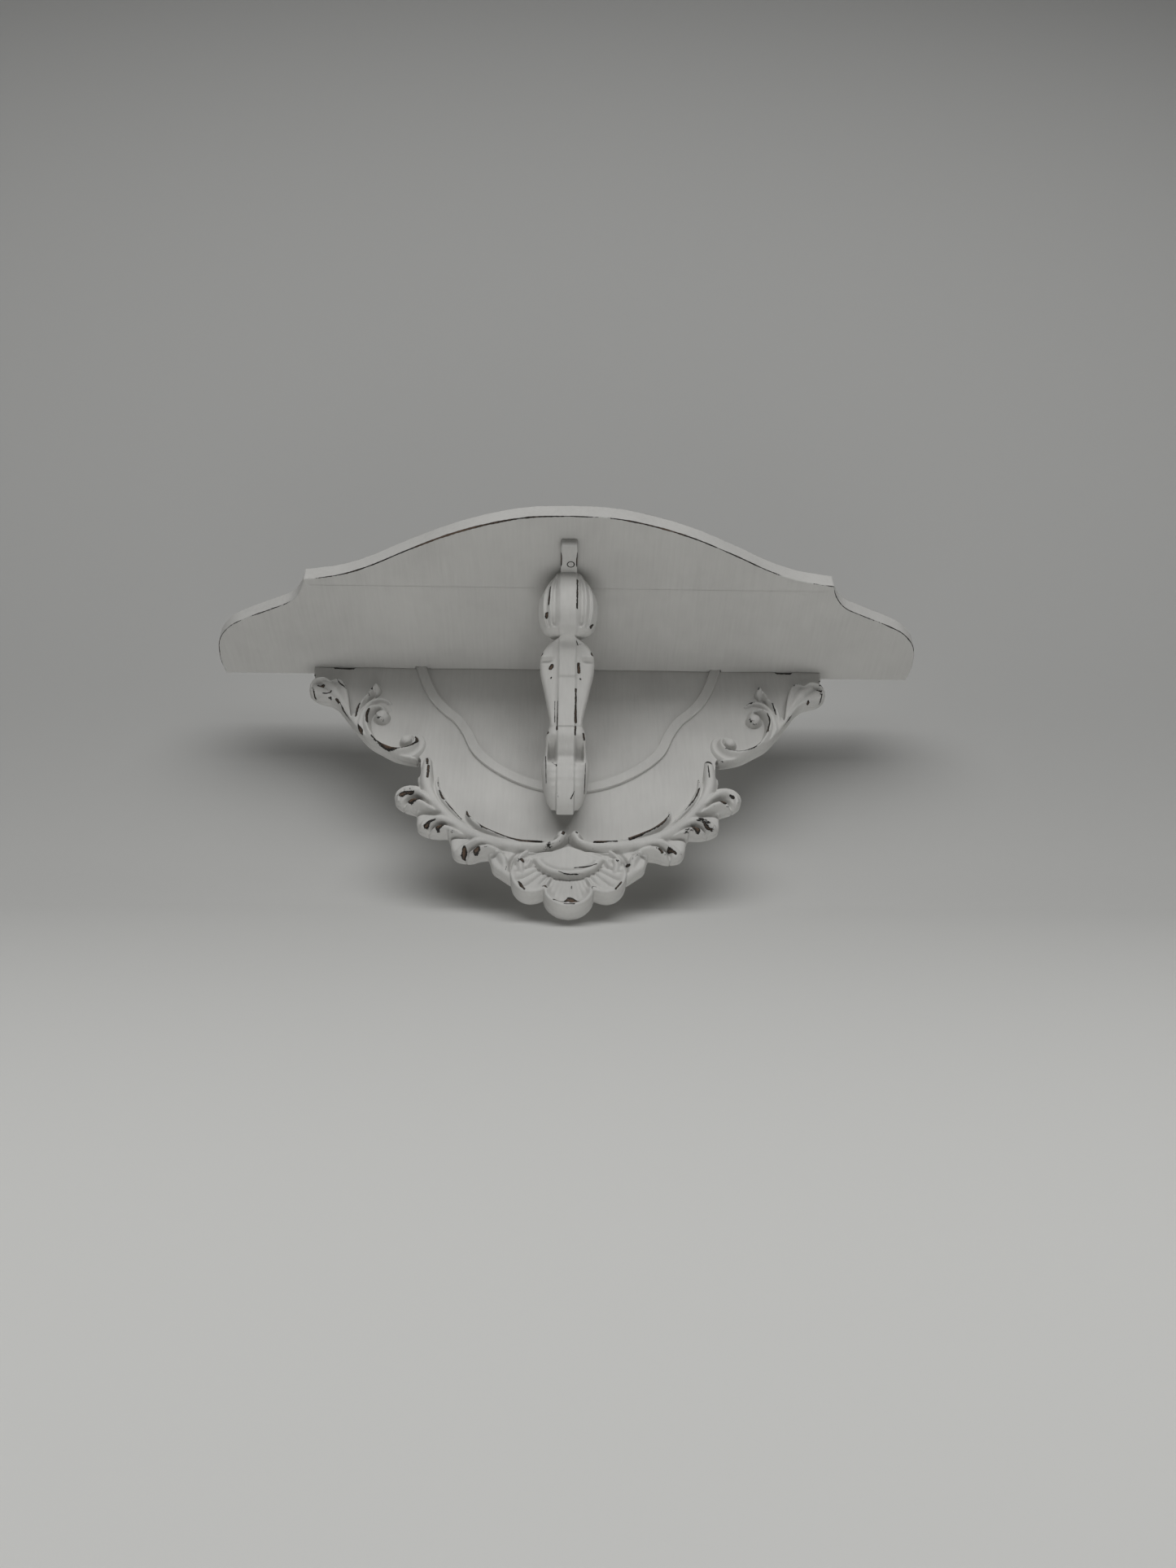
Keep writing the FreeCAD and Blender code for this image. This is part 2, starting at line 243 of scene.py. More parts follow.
def inset(outline, distance):
    """The closed outline moved inwards by the distance, or by each point's own distance, along
    the mean of its two edges' normals. Past a corner the moved points would cross over, so those
    that come too near the outline are drawn back between their nearest sound neighbours."""
    ahead = np.roll(outline, -1, 0) - outline
    ahead /= np.linalg.norm(ahead, axis=1)[:, None]
    behind = np.roll(ahead, 1, 0)
    normal = np.stack([-(ahead + behind)[:, 1], (ahead + behind)[:, 0]], 1)
    normal /= np.maximum(np.linalg.norm(normal, axis=1), 0.3)[:, None]
    moved = outline + normal * np.reshape(distance, (-1, 1))
    middle = (outline + np.roll(outline, -1, 0)) / 2
    nearest = np.sqrt(((moved[:, None] - middle[None]) ** 2).sum(-1).min(1))
    sound = nearest > np.ravel(distance) * 0.97 - 0.02
    if sound.all():
        return moved
    number = np.arange(len(moved))
    drawn = [np.interp(number, number[sound], moved[sound, k], period=len(moved)) for k in (0, 1)]
    return np.stack(drawn, 1)


outline = board_outline()
following = np.roll(outline, -1, axis=0)
area = 0.5 * np.sum(outline[:, 0] * following[:, 1] - following[:, 0] * outline[:, 1])
if area < 0:
    outline = outline[::-1]
# the eased edge varies in width, and its rubbing in strength, by sums of sine waves along it
along = np.arange(len(outline))
wobble = 0.35 * np.sin(along * 0.37) * np.sin(along * 0.083) + 0.2 * np.sin(along * 1.31 + 0.5)
knocked = 0.5 * np.exp(-((outline[:, 0] - knock_x) / knock_spread) ** 2)
arris = arris_radius * (1 + 0.5 * wobble + 0.6 * knocked)
turn = np.linspace(0, np.pi / 2, 7)
run = np.r_[0, np.cumsum(np.linalg.norm(np.diff(outline, axis=0), axis=1))]
rub = 0.5 + 0.26 * np.sin(run / 31 + 1.1) + 0.20 * np.sin(run / 12.7) + 0.12 * np.sin(run / 4.9 + 2)
at_wall = outline[:, 1] > -1.0
on_shoulder = np.abs(outline[:, 0]) > ear_x
under_rub = np.where(at_wall, 0.2, np.where(on_shoulder, 0.62 + 0.45 * rub, 0.66 + 0.75 * rub + knocked))
upper_rub = np.where(at_wall, 0.2, 0.66 + 0.60 * rub[::-1])
# rings of points from the underside, round the lower arris, up the edge and over the upper arris
flat_insets = (6.0, 3.4, 2.2)
rings, edge = [], []
for inwards in flat_insets:
    rings.append(np.c_[inset(outline, np.full(len(outline), inwards)), np.zeros(len(outline))])
    edge.append(0 * rub)
for angle in turn:
    rings.append(np.c_[inset(outline, arris * (1 - np.sin(angle))), arris * (1 - np.cos(angle))])
    edge.append(under_rub * np.sin(2 * angle) ** 0.7)
for share in (0.3, 0.5, 0.7):
    rings.append(np.c_[outline, arris + (board_thickness - 2 * arris) * share])
    edge.append(0.1 + 0 * rub)
for angle in turn[::-1]:
    rings.append(np.c_[inset(outline, arris * (1 - np.sin(angle))),
                       board_thickness - arris * (1 - np.cos(angle))])
    edge.append(upper_rub * np.sin(2 * angle) ** 0.7)
for inwards in flat_insets[::-1]:
    rings.append(np.c_[inset(outline, np.full(len(outline), inwards)),
                       np.full(len(outline), board_thickness)])
    edge.append(0 * rub)
points = np.vstack(rings)
points[:, 2] += board_under
faces = ring_faces(len(rings), len(outline)).tolist()
faces.append(list(range(len(outline)))[::-1])
faces.append(list(range((len(rings) - 1) * len(outline), len(rings) * len(outline))))
worn_or_shaded = np.concatenate(edge)
board_paint = chalk_paint("chalk_paint_board", (1, 0.05, 1), ragged=0.55)
board = add_piece("painted_shelf_board", points, faces, board_paint,
                  ["shelf_board"], worn_or_shaded)
# the flat top and underside are shaded flat, and the rest smooth
normals = np.empty(len(board.data.polygons) * 3)
board.data.polygons.foreach_get("normal", normals)
board.data.polygons.foreach_set("use_smooth", np.abs(normals.reshape(-1, 3)[:, 2]) < 0.999)


# ---------------------------------------------------------------------------
# The back plate: a thick sawn board, its face dished a little inside a raised
# arch moulding. It is fixed under the shelf board with long screws from above.
# ---------------------------------------------------------------------------
field_thickness = 8.5
field_back, border_back, shell_back = 1.55, 1.9, 2.2   # the backs stand clear of the hangers let in there
within_field = 7.6                      # the border's ground is left out where it is lower than this
border_seam, shell_seam = 0.5, 0.6      # how deep the glue joint shows in the carving's walls
dish_depth, dish_reach = 0.7, 34.0
arch_width, arch_proud, arch_sunk, arch_ease = 8.0, 2.4, 0.5, 0.8


def step_up(value, low, high):
    """0 below low, 1 above high, and a smooth step between them."""
    share = np.clip((value - low) / (high - low), 0, 1)
    return share * share * (3 - 2 * share)


def beside(place, line):
    """For each place (across, drop): its distance to the line, the share of the line's length at
    which its nearest point lies, and its signed offset, which is positive to the right of the
    line's direction with drop counted downwards."""
    run = np.r_[0, np.cumsum(np.linalg.norm(np.diff(line, axis=0), axis=1))]
    nearest = np.full(place.shape[:-1], 1e9)
    share = np.zeros(place.shape[:-1])
    turned = np.zeros(place.shape[:-1])
    for start, end, before, after in zip(line[:-1], line[1:], run[:-1], run[1:]):
        chord = end - start
        along = np.clip(((place - start) @ chord) / (chord @ chord), 0, 1)
        off = place - start - along[..., None] * chord
        gap = np.hypot(off[..., 0], off[..., 1])
        closer = gap < nearest
        nearest = np.where(closer, gap, nearest)
        share = np.where(closer, (before + along * (after - before)) / run[-1], share)
        turned = np.where(closer, np.sign(chord[0] * off[..., 1] - chord[1] * off[..., 0]), turned)
    return nearest, share, nearest * turned


def outside(place, corners):
    """The distance of each place outside a closed outline, negative inside it."""
    closed = np.vstack([corners, corners[:1]])
    gap = beside(place, closed)[0]
    inner = np.zeros(place.shape[:-1], bool)
    for (x0, d0), (x1, d1) in zip(closed[:-1], closed[1:]):
        if d0 != d1:
            crosses = (place[..., 1] < d0) != (place[..., 1] < d1)
            inner ^= crosses & (place[..., 0] < x0 + (place[..., 1] - d0) * (x1 - x0) / (d1 - d0))
    return np.where(inner, -gap, gap)


def blurred(height, cells):
    """The heights averaged over a bell-shaped patch of that many cells' spread, rows then columns."""
    reach = int(np.ceil(3 * cells))
    bell = np.exp(-0.5 * (np.arange(-reach, reach + 1) / cells) ** 2)
    bell /= bell.sum()
    for axis in (0, 1):
        padded = np.pad(height, [(reach, reach) if k == axis else (0, 0) for k in (0, 1)], mode="edge")
        height = sum(weight * np.take(padded, np.arange(i, i + height.shape[axis]), axis)
                     for i, weight in enumerate(bell))
    return height


class Relief:
    """A carved face as heights above the wall, on an even grid of places (across, drop below the
    board). 'gap' is each place's distance outside the piece's outline, and 'rubbed' says how much
    the paint is rubbed there, or darkened as painted shade. Strokes are laid on with a soft maximum."""

    def __init__(self, across, drop, cell, ground):
        self.cell = cell
        self.across = np.arange(across[0], across[1] + cell, cell)
        self.drop = np.arange(drop[0], drop[1] + cell, cell)
        self.place = np.stack(np.meshgrid(self.across, self.drop), -1)
        self.height = np.full(self.place.shape[:-1], float(ground))
        self.gap = np.full(self.place.shape[:-1], 99.0)
        self.rubbed = np.zeros(self.place.shape[:-1])

    def window(self, line, reach):
        """The part of the grid within reach of the line's box."""
        low, high = line.min(0) - reach, line.max(0) + reach
        columns = slice(*np.searchsorted(self.across, (low[0], high[0])))
        rows = slice(*np.searchsorted(self.drop, (low[1], high[1])))
        return rows, columns

    def stroke(self, points, widths, crests, foot=6.0, blend=0.8, power=2.0, steep=2.5):
        """A ridge along a smooth line. At a share u of its half-width from the line it is
        foot + (crest - foot) (1 - |u|^power)^(1/2) high, and it falls away steeply past that.
        Half-widths and crest heights are read evenly along the line."""
        line = smooth_line(points, 1.5)
        part = self.window(line, max(widths) + 4)
        gap, share, _ = beside(self.place[part], line)
        even = np.linspace(0, 1, len(widths))
        width = np.interp(share, even, widths)
        crest = np.interp(share, np.linspace(0, 1, len(crests)), crests)
        u = np.clip(gap / width, 0, 1)
        ridge = foot + (crest - foot) * np.sqrt(1 - u ** power) - steep * np.maximum(gap - width, 0)
        ground = self.height[part]
        self.height[part] = (ground + ridge + np.sqrt((ground - ridge) ** 2 + blend ** 2)) / 2

    def ribbon(self, points, section, crests, blend=0.8):
        """A band with the given section along a smooth line. The section is pairs of an offset
        from the line, positive to its right, and a height above the crest there."""
        line = smooth_line(points, 1.2)
        offsets, rises = np.array(section, float).T
        part = self.window(line, max(abs(offsets)) + 2)
        gap, share, side = beside(self.place[part], line)
        past = (share <= 0) | (share >= 1)
        crest = np.interp(share, np.linspace(0, 1, len(crests)), crests)
        ridge = crest + np.interp(side, offsets, rises)
        ridge = np.where(past, np.minimum(ridge, crest - 1.2 * gap), ridge)
        ground = self.height[part]
        self.height[part] = (ground + ridge + np.sqrt((ground - ridge) ** 2 + blend ** 2)) / 2

    def groove(self, points, widths, depths):
        """A hollow along a smooth line, depth (1 - u^2)^2 deep at a share u of its half-width."""
        line = smooth_line(points, 1.2)
        part = self.window(line, max(widths) + 1)
        gap, share, _ = beside(self.place[part], line)
        width = np.interp(share, np.linspace(0, 1, len(widths)), widths)
        depth = np.interp(share, np.linspace(0, 1, len(depths)), depths)
        self.height[part] -= depth * (1 - np.clip(gap / width, 0, 1) ** 2) ** 2

    def dome(self, centre, radius, top, blend=0.8):
        """A ball end: a half sphere squashed to reach the given height."""
        self.stroke([centre, (centre[0] + 0.2, centre[1] + 0.2)], (radius, radius), (top, top),
                    foot=top - radius, blend=blend)

    def rub_or_shade(self, points, widths):
        """A rubbed spot or line, or a dark line of painted shade laid along a gap, most marked along its
        middle and the more so the wider it is, and fading to nothing at twice its half-width."""
        line = smooth_line(points, 1.0)
        part = self.window(line, max(widths) * 2.2 + 1)
        gap, share, _ = beside(self.place[part], line)
        width = np.interp(share, np.linspace(0, 1, len(widths)), widths)
        spot = (1.02 + 0.30 * width) * np.clip(1 - 0.5 * gap / width, 0, 1)
        self.rubbed[part] = np.maximum(self.rubbed[part], spot)

    def round_rim(self, radius):
        """Rounds the front edge all along the outline with a quarter circle."""
        within = np.clip(-self.gap, 0, radius)
        self.height -= radius - np.sqrt(radius ** 2 - (radius - within) ** 2)

    def rub_crests(self, amount, spread):
        """Adds rubbing where a place stands above its surroundings."""
        proud = self.height - blurred(self.height, spread / self.cell)
        self.rubbed = np.maximum(self.rubbed, np.clip(proud * amount, 0, 0.68))

    def solid(self, back_at, hidden_below=-1.0, seam=0.0):
        """The piece as points and faces: the carved front, walls, and a flat back at the given
        distance from the wall. Points near the outline are moved almost onto it, and cells outside
        it are left out. Half way back, the walls dip in by the seam, where carving and plate are
        glued together."""
        near_outline = 0.72 * self.cell
        slope = np.gradient(self.gap, self.cell)
        length = np.maximum(np.hypot(slope[0], slope[1]), 1e-6)
        shift = np.where(np.abs(self.gap) < near_outline, self.gap * 0.94, 0)
        place = self.place - np.stack([slope[1], slope[0]], -1) / length[..., None] * shift[..., None]
        kept = self.gap < near_outline
        number = np.arange(kept.size).reshape(kept.shape)
        corner = [number[:-1, :-1], number[:-1, 1:], number[1:, 1:], number[1:, :-1]]
        inside = [kept[:-1, :-1], kept[:-1, 1:], kept[1:, 1:], kept[1:, :-1]]
        showing = self.height > hidden_below
        shown = showing[:-1, :-1] | showing[:-1, 1:] | showing[1:, 1:] | showing[1:, :-1]
        count = sum(part.astype(int) for part in inside)
        whole = (count == 4) & shown
        quads = np.stack([c[whole] for c in corner], -1)
        corners_cut = []
        for missing in range(4):
            cell = (count == 3) & ~inside[missing] & shown
            corners_cut.append(np.stack([corner[(missing + k) % 4][cell] for k in (1, 2, 3)], -1))
        triangles = np.vstack(corners_cut)
        used = np.unique(np.r_[quads.ravel(), triangles.ravel()])
        place = place.reshape(-1, 2)[used]
        front = np.c_[place[:, 0], -self.height.reshape(-1)[used], board_under - place[:, 1]]
        back = np.c_[front[:, 0], np.full(len(front), -back_at), front[:, 2]]
        quads, triangles = np.searchsorted(used, quads), np.searchsorted(used, triangles)
        # a side that no other face runs along the other way is on the rim, and carries a wall
        sides = np.vstack([np.stack([quads[:, k], quads[:, (k + 1) % 4]], -1) for k in range(4)]
                          + [np.stack([triangles[:, k], triangles[:, (k + 1) % 3]], -1) for k in range(3)])
        key = sides[:, 0] * len(used) + sides[:, 1]
        twin = sides[:, 1] * len(used) + sides[:, 0]
        rim = sides[~np.isin(key, twin)]
        n = len(used)
        rims = np.unique(rim)
        inwards = -np.stack([slope[1], 0 * slope[1], -slope[0]], -1) / length[..., None]
        inwards = inwards.reshape(-1, 3)[used][rims]
        wall_points = [front[rims] + (back[rims] - front[rims]) * down + inwards * deep
                       for down, deep in ((0.2, 0), (0.44, 0), (0.5, seam), (0.56, 0), (0.8, 0))]
        points = np.vstack([front, back] + wall_points)
        slot_of = np.full(n, -1)
        slot_of[rims] = np.arange(len(rims))
        between = [2 * n + k * len(rims) + slot_of[rim] for k in range(len(wall_points))]
        levels = [rim] + between + [rim + n]
        walls = [np.stack([upper[:, 0], upper[:, 1], lower[:, 1], lower[:, 0]], -1)
                 for upper, lower in zip(levels[:-1], levels[1:])]
        rubbed = self.rubbed.reshape(-1)[used]
        worn_or_shaded = np.concatenate([rubbed, np.zeros(n), rubbed[rims] * 0.8]
                              + [np.zeros(len(rims))] * (len(wall_points) - 1))
        faces = (quads[:, ::-1].tolist() + triangles[:, ::-1].tolist()
                 + (quads + n).tolist() + (triangles + n).tolist()
                 + np.vstack(walls).tolist())
        return points, faces, worn_or_shaded


field = Relief((-208, 208), (0, 202), 1.6, field_thickness)
half_field = np.array([(206.5, -1), (205.5, 10), (200, 20), (176, 48), (160, 70), (140, 86), (113, 94),
                      (111, 125), (100, 148), (70, 172), (30, 190), (0, 200)])
# the plate's top edge lies in the board but for two low slits, where the joint gapes
slit_right = np.array([(168, -1), (170, 1.4), (183, 1.2), (184.5, -1)])
slit_left = np.array([(-204.5, -1), (-203.5, 0.7), (-188, 0.8), (-186, 1.5), (-174, 1.6), (-172, -1)])
field_outline = np.vstack([slit_right, half_field, (half_field * (-1, 1))[::-1][1:], slit_left])
field.gap = outside(field.place, field_outline)
# painted shade: the paint along each slit is darkened, where the gaping joint lies in shade
for left_end, right_end in ((171, 182), (-190, -175)):
    field.rub_or_shade([(left_end, 0.9), (right_end, 0.9)], (1.6,))
half_arch = [(121, -4), (118, 6), (113, 20), (105, 36), (95, 48), (87, 56), (79, 69), (71, 87), (60, 99.5),
             (40, 113.5), (20, 121.5), (0, 123.6)]
arch_line = smooth_line(half_arch + [(-x, d) for x, d in half_arch[-2::-1]], 1.5)
near_arch = beside(field.place, arch_line)[0]
field.height -= dish_depth * np.clip(1 - near_arch / dish_reach, 0, 1)
plate_paint = chalk_paint("chalk_paint_plate", (1, 1, 0.08))
points, faces, worn_or_shaded = field.solid(back_at=field_back)
add_piece("plate_field", points, faces, plate_paint, ["back_plate"], worn_or_shaded)

# the arch moulding: a low band with eased edges, planted on the face
heading = np.gradient(arch_line, axis=0)
heading /= np.linalg.norm(heading, axis=1)[:, None]
sideways = np.stack([-heading[:, 1], heading[:, 0]], 1)
ease = np.linspace(0, np.pi / 2, 5)
right_edge = np.c_[arch_width / 2 - arch_ease * (1 - np.cos(ease)),
                   arch_proud - arch_ease * (1 - np.sin(ease))]
foot_half, foot_deep, hollow_half, hollow_deep = arch_width / 2 + 0.3, -2.0, 1.5, 0.25
section = np.vstack([[(foot_half, foot_deep)], right_edge,
                     [(hollow_half, arch_proud - hollow_deep), (-hollow_half, arch_proud - hollow_deep)],
                     (right_edge * (-1, 1))[::-1], [(-foot_half, foot_deep)]])
across, out = section[:, 0], section[:, 1] + field_thickness - arch_sunk
arch_across = arch_line[:, None, 0] + sideways[:, None, 0] * across
arch_drop = np.maximum(arch_line[:, None, 1] + sideways[:, None, 1] * across, 0.05)
points = np.stack([arch_across, -out + 0 * arch_across, board_under - arch_drop], -1)
faces = ring_faces(len(arch_line), len(section))[:, ::-1].tolist()
last = (len(arch_line) - 1) * len(section)
faces += [list(range(len(section))), list(range(last, last + len(section)))[::-1]]
add_piece("plate_arch_moulding", points.reshape(-1, 3), faces, plate_paint, ["back_plate"],
          np.zeros(len(arch_line) * len(section)))

# ---------------------------------------------------------------------------
# The carved border, the same on both sides: a fluted leaf at the end, a small
# upright leaf, a C-scroll with two volutes, and a round stem wrapped in a
# sheath, with four fluted leaf lobes along its outside.
# ---------------------------------------------------------------------------
leaf_edge = smooth_line([(170, 57), (172.5, 45), (175.5, 31), (179.5, 20.5), (185, 16), (190, 17.2),
                        (196, 14.2), (202, 15.2), (206.6, 21), (207.2, 27), (201.7, 33), (194.6, 36.4),
                        (188.4, 38.3), (182.3, 43), (174.1, 54.2), (163.9, 68.5), (153.7, 80.8),
                        (143.4, 88), (133.2, 94.1), (123, 97.2), (113.6, 98.6)], 1.5)
stem_edge = np.array([(113.6, 99.4), (113.6, 118), (112.4, 122.9)])
lobe_edges = [
    [(112.4, 122.9), (118.7, 122.6), (125.4, 124.9), (129.3, 130), (129, 136), (123, 141.8), (112.4, 146)],
    [(112.4, 146), (111.2, 153), (110.6, 160), (106.5, 163.8), (97.4, 166.6), (88, 166.6)],
    [(88, 166.6), (85.6, 173), (84.2, 181), (80.5, 186.3), (70, 188.2), (63.6, 186.2), (57.5, 185.2)],
    [(57.5, 185.2), (56, 190), (54, 196.5), (47.5, 202), (41.5, 206.5)],
]
under_field = np.array([(24, 198), (10, 186), (-1, 182), (-1, 160), (90, 100), (138, 30), (150, 12)])
border_outline = np.vstack([leaf_edge, stem_edge]
                           + [smooth_line(edge, 1.5) for edge in lobe_edges] + [under_field])

stem = [(107.6, 99), (107.3, 108), (106.6, 120), (103.8, 130.3), (98.5, 140.3), (90.6, 151.2),
        (81.6, 160.7), (71.7, 168.2), (59.7, 174.6), (44.8, 179.1), (29.8, 181.1), (16, 180.4),
        (8, 176.6), (4.6, 171.6)]
scroll = [(144.5, 52.5), (147, 47.4), (152.2, 47), (156.6, 52.5), (157.8, 61.5), (156, 70), (152, 78.5),
          (147.5, 84.6), (141.6, 88.8), (134.6, 91.4), (127.4, 91.2), (121.4, 88), (118.4, 82.6),
          (119.2, 77.4), (122.8, 74.8)]


def carve_border():
    """The right-hand border: its parts' ridges, bands and hollows, from the leaf to the shell."""
    border = Relief((-2, 209), (8, 212), 0.5, 5.5)
    border.gap = outside(border.place, border_outline)

    # the end leaf: a low body, four fingers that fan out from its foot, and a rolled rim
    border.stroke([(160, 76), (167, 64), (174, 51), (183, 34), (191, 27), (199, 24)],
                  (7, 6.5, 9, 14, 14, 10), (9, 10, 10.5, 10, 9.5, 9), foot=6, power=4)
    border.stroke([(167, 64), (171.5, 50), (175.5, 37), (180, 27), (185, 20.5)], (1.6, 3, 4, 4.8, 4),
                  (12, 14.6, 15.6, 15.2, 12.5), foot=8)
    border.stroke([(167, 66), (173, 51), (179.5, 40), (187, 29), (194.5, 20)], (1.4, 2.6, 3.8, 5, 4.6),
                  (12, 14.6, 16, 16, 12.5), foot=8)
    border.stroke([(166, 68), (174, 53), (183, 43), (192, 34), (201.5, 25.5)], (1.4, 2.4, 3.4, 4.8, 4.6),
                  (12, 13.6, 14.8, 15, 12), foot=8)
    border.stroke([(164, 71), (173, 57.6), (183, 46), (190, 40.5), (198, 36)], (1.6, 2.2, 2.6, 2.8, 2),
                  (12, 12.6, 12.6, 12, 10.5), foot=7)
    border.stroke([(178, 27), (181, 20.6), (185.6, 18), (190, 19.6), (196, 16.4), (201.6, 17.6),
                   (204.8, 22), (204.6, 27.6), (199, 32.6)],
                  (1.4, 1.9, 1.9, 1.6, 2, 2.1, 2.1, 2, 1.4),
                  (13, 14.6, 14.4, 13.4, 14.4, 14.4, 14, 13, 11), foot=7, blend=1.2)
    # the small upright leaf with its hooked tip, hollowed along its outer side
    border.stroke([(164, 72), (166.2, 58), (165.6, 46), (163.2, 34.5), (158.6, 27)],
                  (2.6, 4.2, 5.2, 6.2, 6.2), (12, 14.4, 16, 16.6, 15.6), foot=6, power=2.8)
    border.stroke([(164.4, 30), (160.6, 23.6), (155.4, 23), (152.2, 27.6), (153.4, 32.6)],
                  (3.8, 4.0, 3.8, 3.2, 1.6), (16, 17, 16.2, 14, 10), foot=6)
    border.groove([(165.8, 33), (167.4, 44), (167.4, 58)], (1.2, 2.0, 1.0), (2.0, 5.0, 1.5))
    border.groove([(159.6, 36), (161.4, 47), (162.6, 62)], (1.4, 2.2, 1.0), (1.2, 3.0, 1.0))
    border.groove([(157.4, 33), (155.2, 30.2), (156.6, 27.4)], (1.4, 1.5, 0.8), (2.0, 2.6, 0.8))
    # the curled leaf over the upper volute
    border.stroke([(141, 40), (146.6, 37.2), (153.2, 39.6), (158.6, 47), (161.4, 58), (161.6, 68),
                   (157.6, 77.6)],
                  (1.4, 2.6, 3.4, 3.6, 3.4, 3, 2.2), (10.5, 13, 15, 16, 16, 15.6, 14.6), foot=6)
    border.groove([(142.6, 44.4), (148.6, 43), (153.4, 47.4)], (1.0, 1.8, 1.0), (1.2, 2.6, 1.0))
    # the C-scroll: steep inside, hollow outside, with a low outer rim
    border.ribbon(scroll,
                  [(-10.5, -12), (-8.4, -7.4), (-6.6, -5.2), (-5.0, -5.4), (-3.2, -4.8), (-1.4, -1.6),
                   (0, 0), (1.0, -1.2), (2.0, -5), (3.4, -11)],
                  (13, 15.5, 17.5, 18.6, 18.8, 18.6, 18.6, 18.2, 17.4, 16.6, 15.6, 13.5))
    border.stroke([(160.8, 64), (160, 71), (155.6, 79.6), (149.6, 86.6), (140.8, 92), (130.6, 95.4),
                   (117, 97)],
                  (1.2, 1.8, 2.1, 2.2, 2.2, 2.2, 1.6), (13, 14.2, 13.6, 13, 12.6, 12, 11), foot=6,
                  blend=1.4)
    border.dome((146.4, 55.6), 5.9, 16.0)
    border.dome((124.8, 79.8), 5.2, 15.0)
    border.groove([(140.8, 60.8), (145.7, 62.6), (150.6, 59.6), (151.6, 53.6)], (0.8, 1.3, 1.3, 0.8),
                  (1.2, 2.6, 2.6, 0.8))
    border.groove([(120.6, 77), (120.4, 81.8), (124.6, 85.2), (129.6, 83.4)], (0.6, 1.2, 1.2, 0.6),
                  (0.5, 2.2, 2.2, 0.5))
    # the stem, round in section, and the lips of the sheath that wraps it
    border.stroke(stem, (3.6, 5.0, 5.6, 5.8, 5.7, 5.6, 5.6, 5.6, 5.4, 4.8, 3.8, 3.2),
                  (12.5, 15.6, 17, 17.4, 17.6, 17.8, 17.8, 18, 18.4, 18.8, 18.4, 17.6), foot=7.5)
    border.stroke([(98.6, 113), (98.9, 122.8), (96.2, 131.8), (92.0, 140.8), (85.2, 149.7), (78, 157.7),
                   (70, 163)],
                  (0.8, 2.3, 2.9, 3.1, 2.9, 2.4, 1), (9.5, 13.4, 16, 16.8, 16.4, 15.4, 13), foot=5.5,
                  blend=1.0)
    border.stroke([(75.4, 144), (74.4, 150.7), (70.2, 157.2), (62.1, 164.9), (52, 170.6), (42.5, 174.6),
                   (32, 176.6), (18, 176)],
                  (0.9, 2.4, 2.8, 2.9, 2.8, 2.6, 2.3, 1), (10, 14.4, 16, 17, 17.2, 17, 16.6, 16),
                  foot=5.5, blend=1.0)
    border.dome((4.9, 170.4), 3.6, 17.5)
    border.groove([(103, 120), (99.8, 131), (94.9, 140.6), (87.6, 150), (79.2, 158.8), (68.6, 166.6),
                   (56.6, 172.8), (42, 177)],
                  (0.6, 1.3, 1.5, 1.5, 1.5, 1.5, 1.3, 0.5), (0.5, 1.5, 1.9, 1.9, 1.9, 1.9, 1.5, 0.3))
    # the bed of the lobes, and on each lobe two finger crests with a hollow between them
    border.stroke([(111, 127), (101, 148), (82, 166), (58, 179), (34, 192)], (14, 16, 15, 14, 17),
                  (10, 10, 10.5, 11.5, 13), foot=9, power=6)
    lobe_beds = (((118.6, 132.5), 11, 12.0), ((99.6, 155.4), 11.6, 12.4),
                 ((73.6, 176.8), 12, 13), ((45.6, 193), 12, 14))
    for centre, radius, top in lobe_beds:
        border.stroke([centre, (centre[0] + 0.3, centre[1])], (radius, radius), (top, top), foot=8.5,
                      power=4)
    fingers = [
        ([(97, 146), (103.7, 138.6), (110.8, 132.6), (118.2, 130.4), (124.8, 133.6), (125.6, 139)],
         [(96, 150), (102.8, 146), (109.4, 142), (116, 140.4), (118.4, 143.4)]),
        ([(75, 168), (83.7, 161.4), (92.7, 157), (100.4, 157.2), (106, 161), (105.6, 165)],
         [(75, 171.6), (83.6, 167.4), (89.7, 164.8), (95.4, 164.6), (97.4, 166)]),
        ([(47.6, 182), (56.8, 177.8), (65, 176.6), (73, 179.2), (79, 183.4)],
         [(48, 184.6), (57.4, 182.2), (63.2, 182.2), (68.4, 184.8)]),
        ([(53, 184), (49.5, 188), (46, 193.6), (45.4, 200)],
         [(27, 183.6), (32.6, 188), (35.8, 193), (35.4, 199)]),
    ]
    for upper, lower in fingers:
        border.stroke(upper, (1.2, 2.8, 3.6, 3.8, 3.2, 2.4), (14.5, 17, 18, 18, 16, 13.5), foot=8,
                      blend=0.8)
        border.stroke(lower, (1.0, 2.4, 3.1, 3.3, 2.6), (14.5, 16.4, 17.4, 17, 14), foot=8, blend=0.8)
    for line in ([(107, 138.8), (113.6, 136.4), (119.4, 137.2), (122, 142)],
                 [(89, 162), (95.4, 160.6), (100.8, 162.8), (102, 167)],
                 [(60, 180), (67.2, 180), (72.2, 183), (73.2, 188)],
                 [(37.6, 186), (40.6, 192), (41, 200)]):
        border.groove(line, (0.8, 1.7, 2.4, 2.4), (1.4, 3.6, 5.0, 3.6))
    for line in ([(94, 152), (102, 150), (110, 149), (117, 150)],
                 [(74, 172.6), (83, 171), (91, 172)],
                 [(46, 186.6), (55, 188.6), (62, 191)]):
        border.groove(line, (1.0, 2.2, 3.0), (1.6, 3.6, 2.4))
    border.height = blurred(border.height, 0.7)
    border.round_rim(1.6)
    border.rub_crests(0.42, 2.0)
    return border


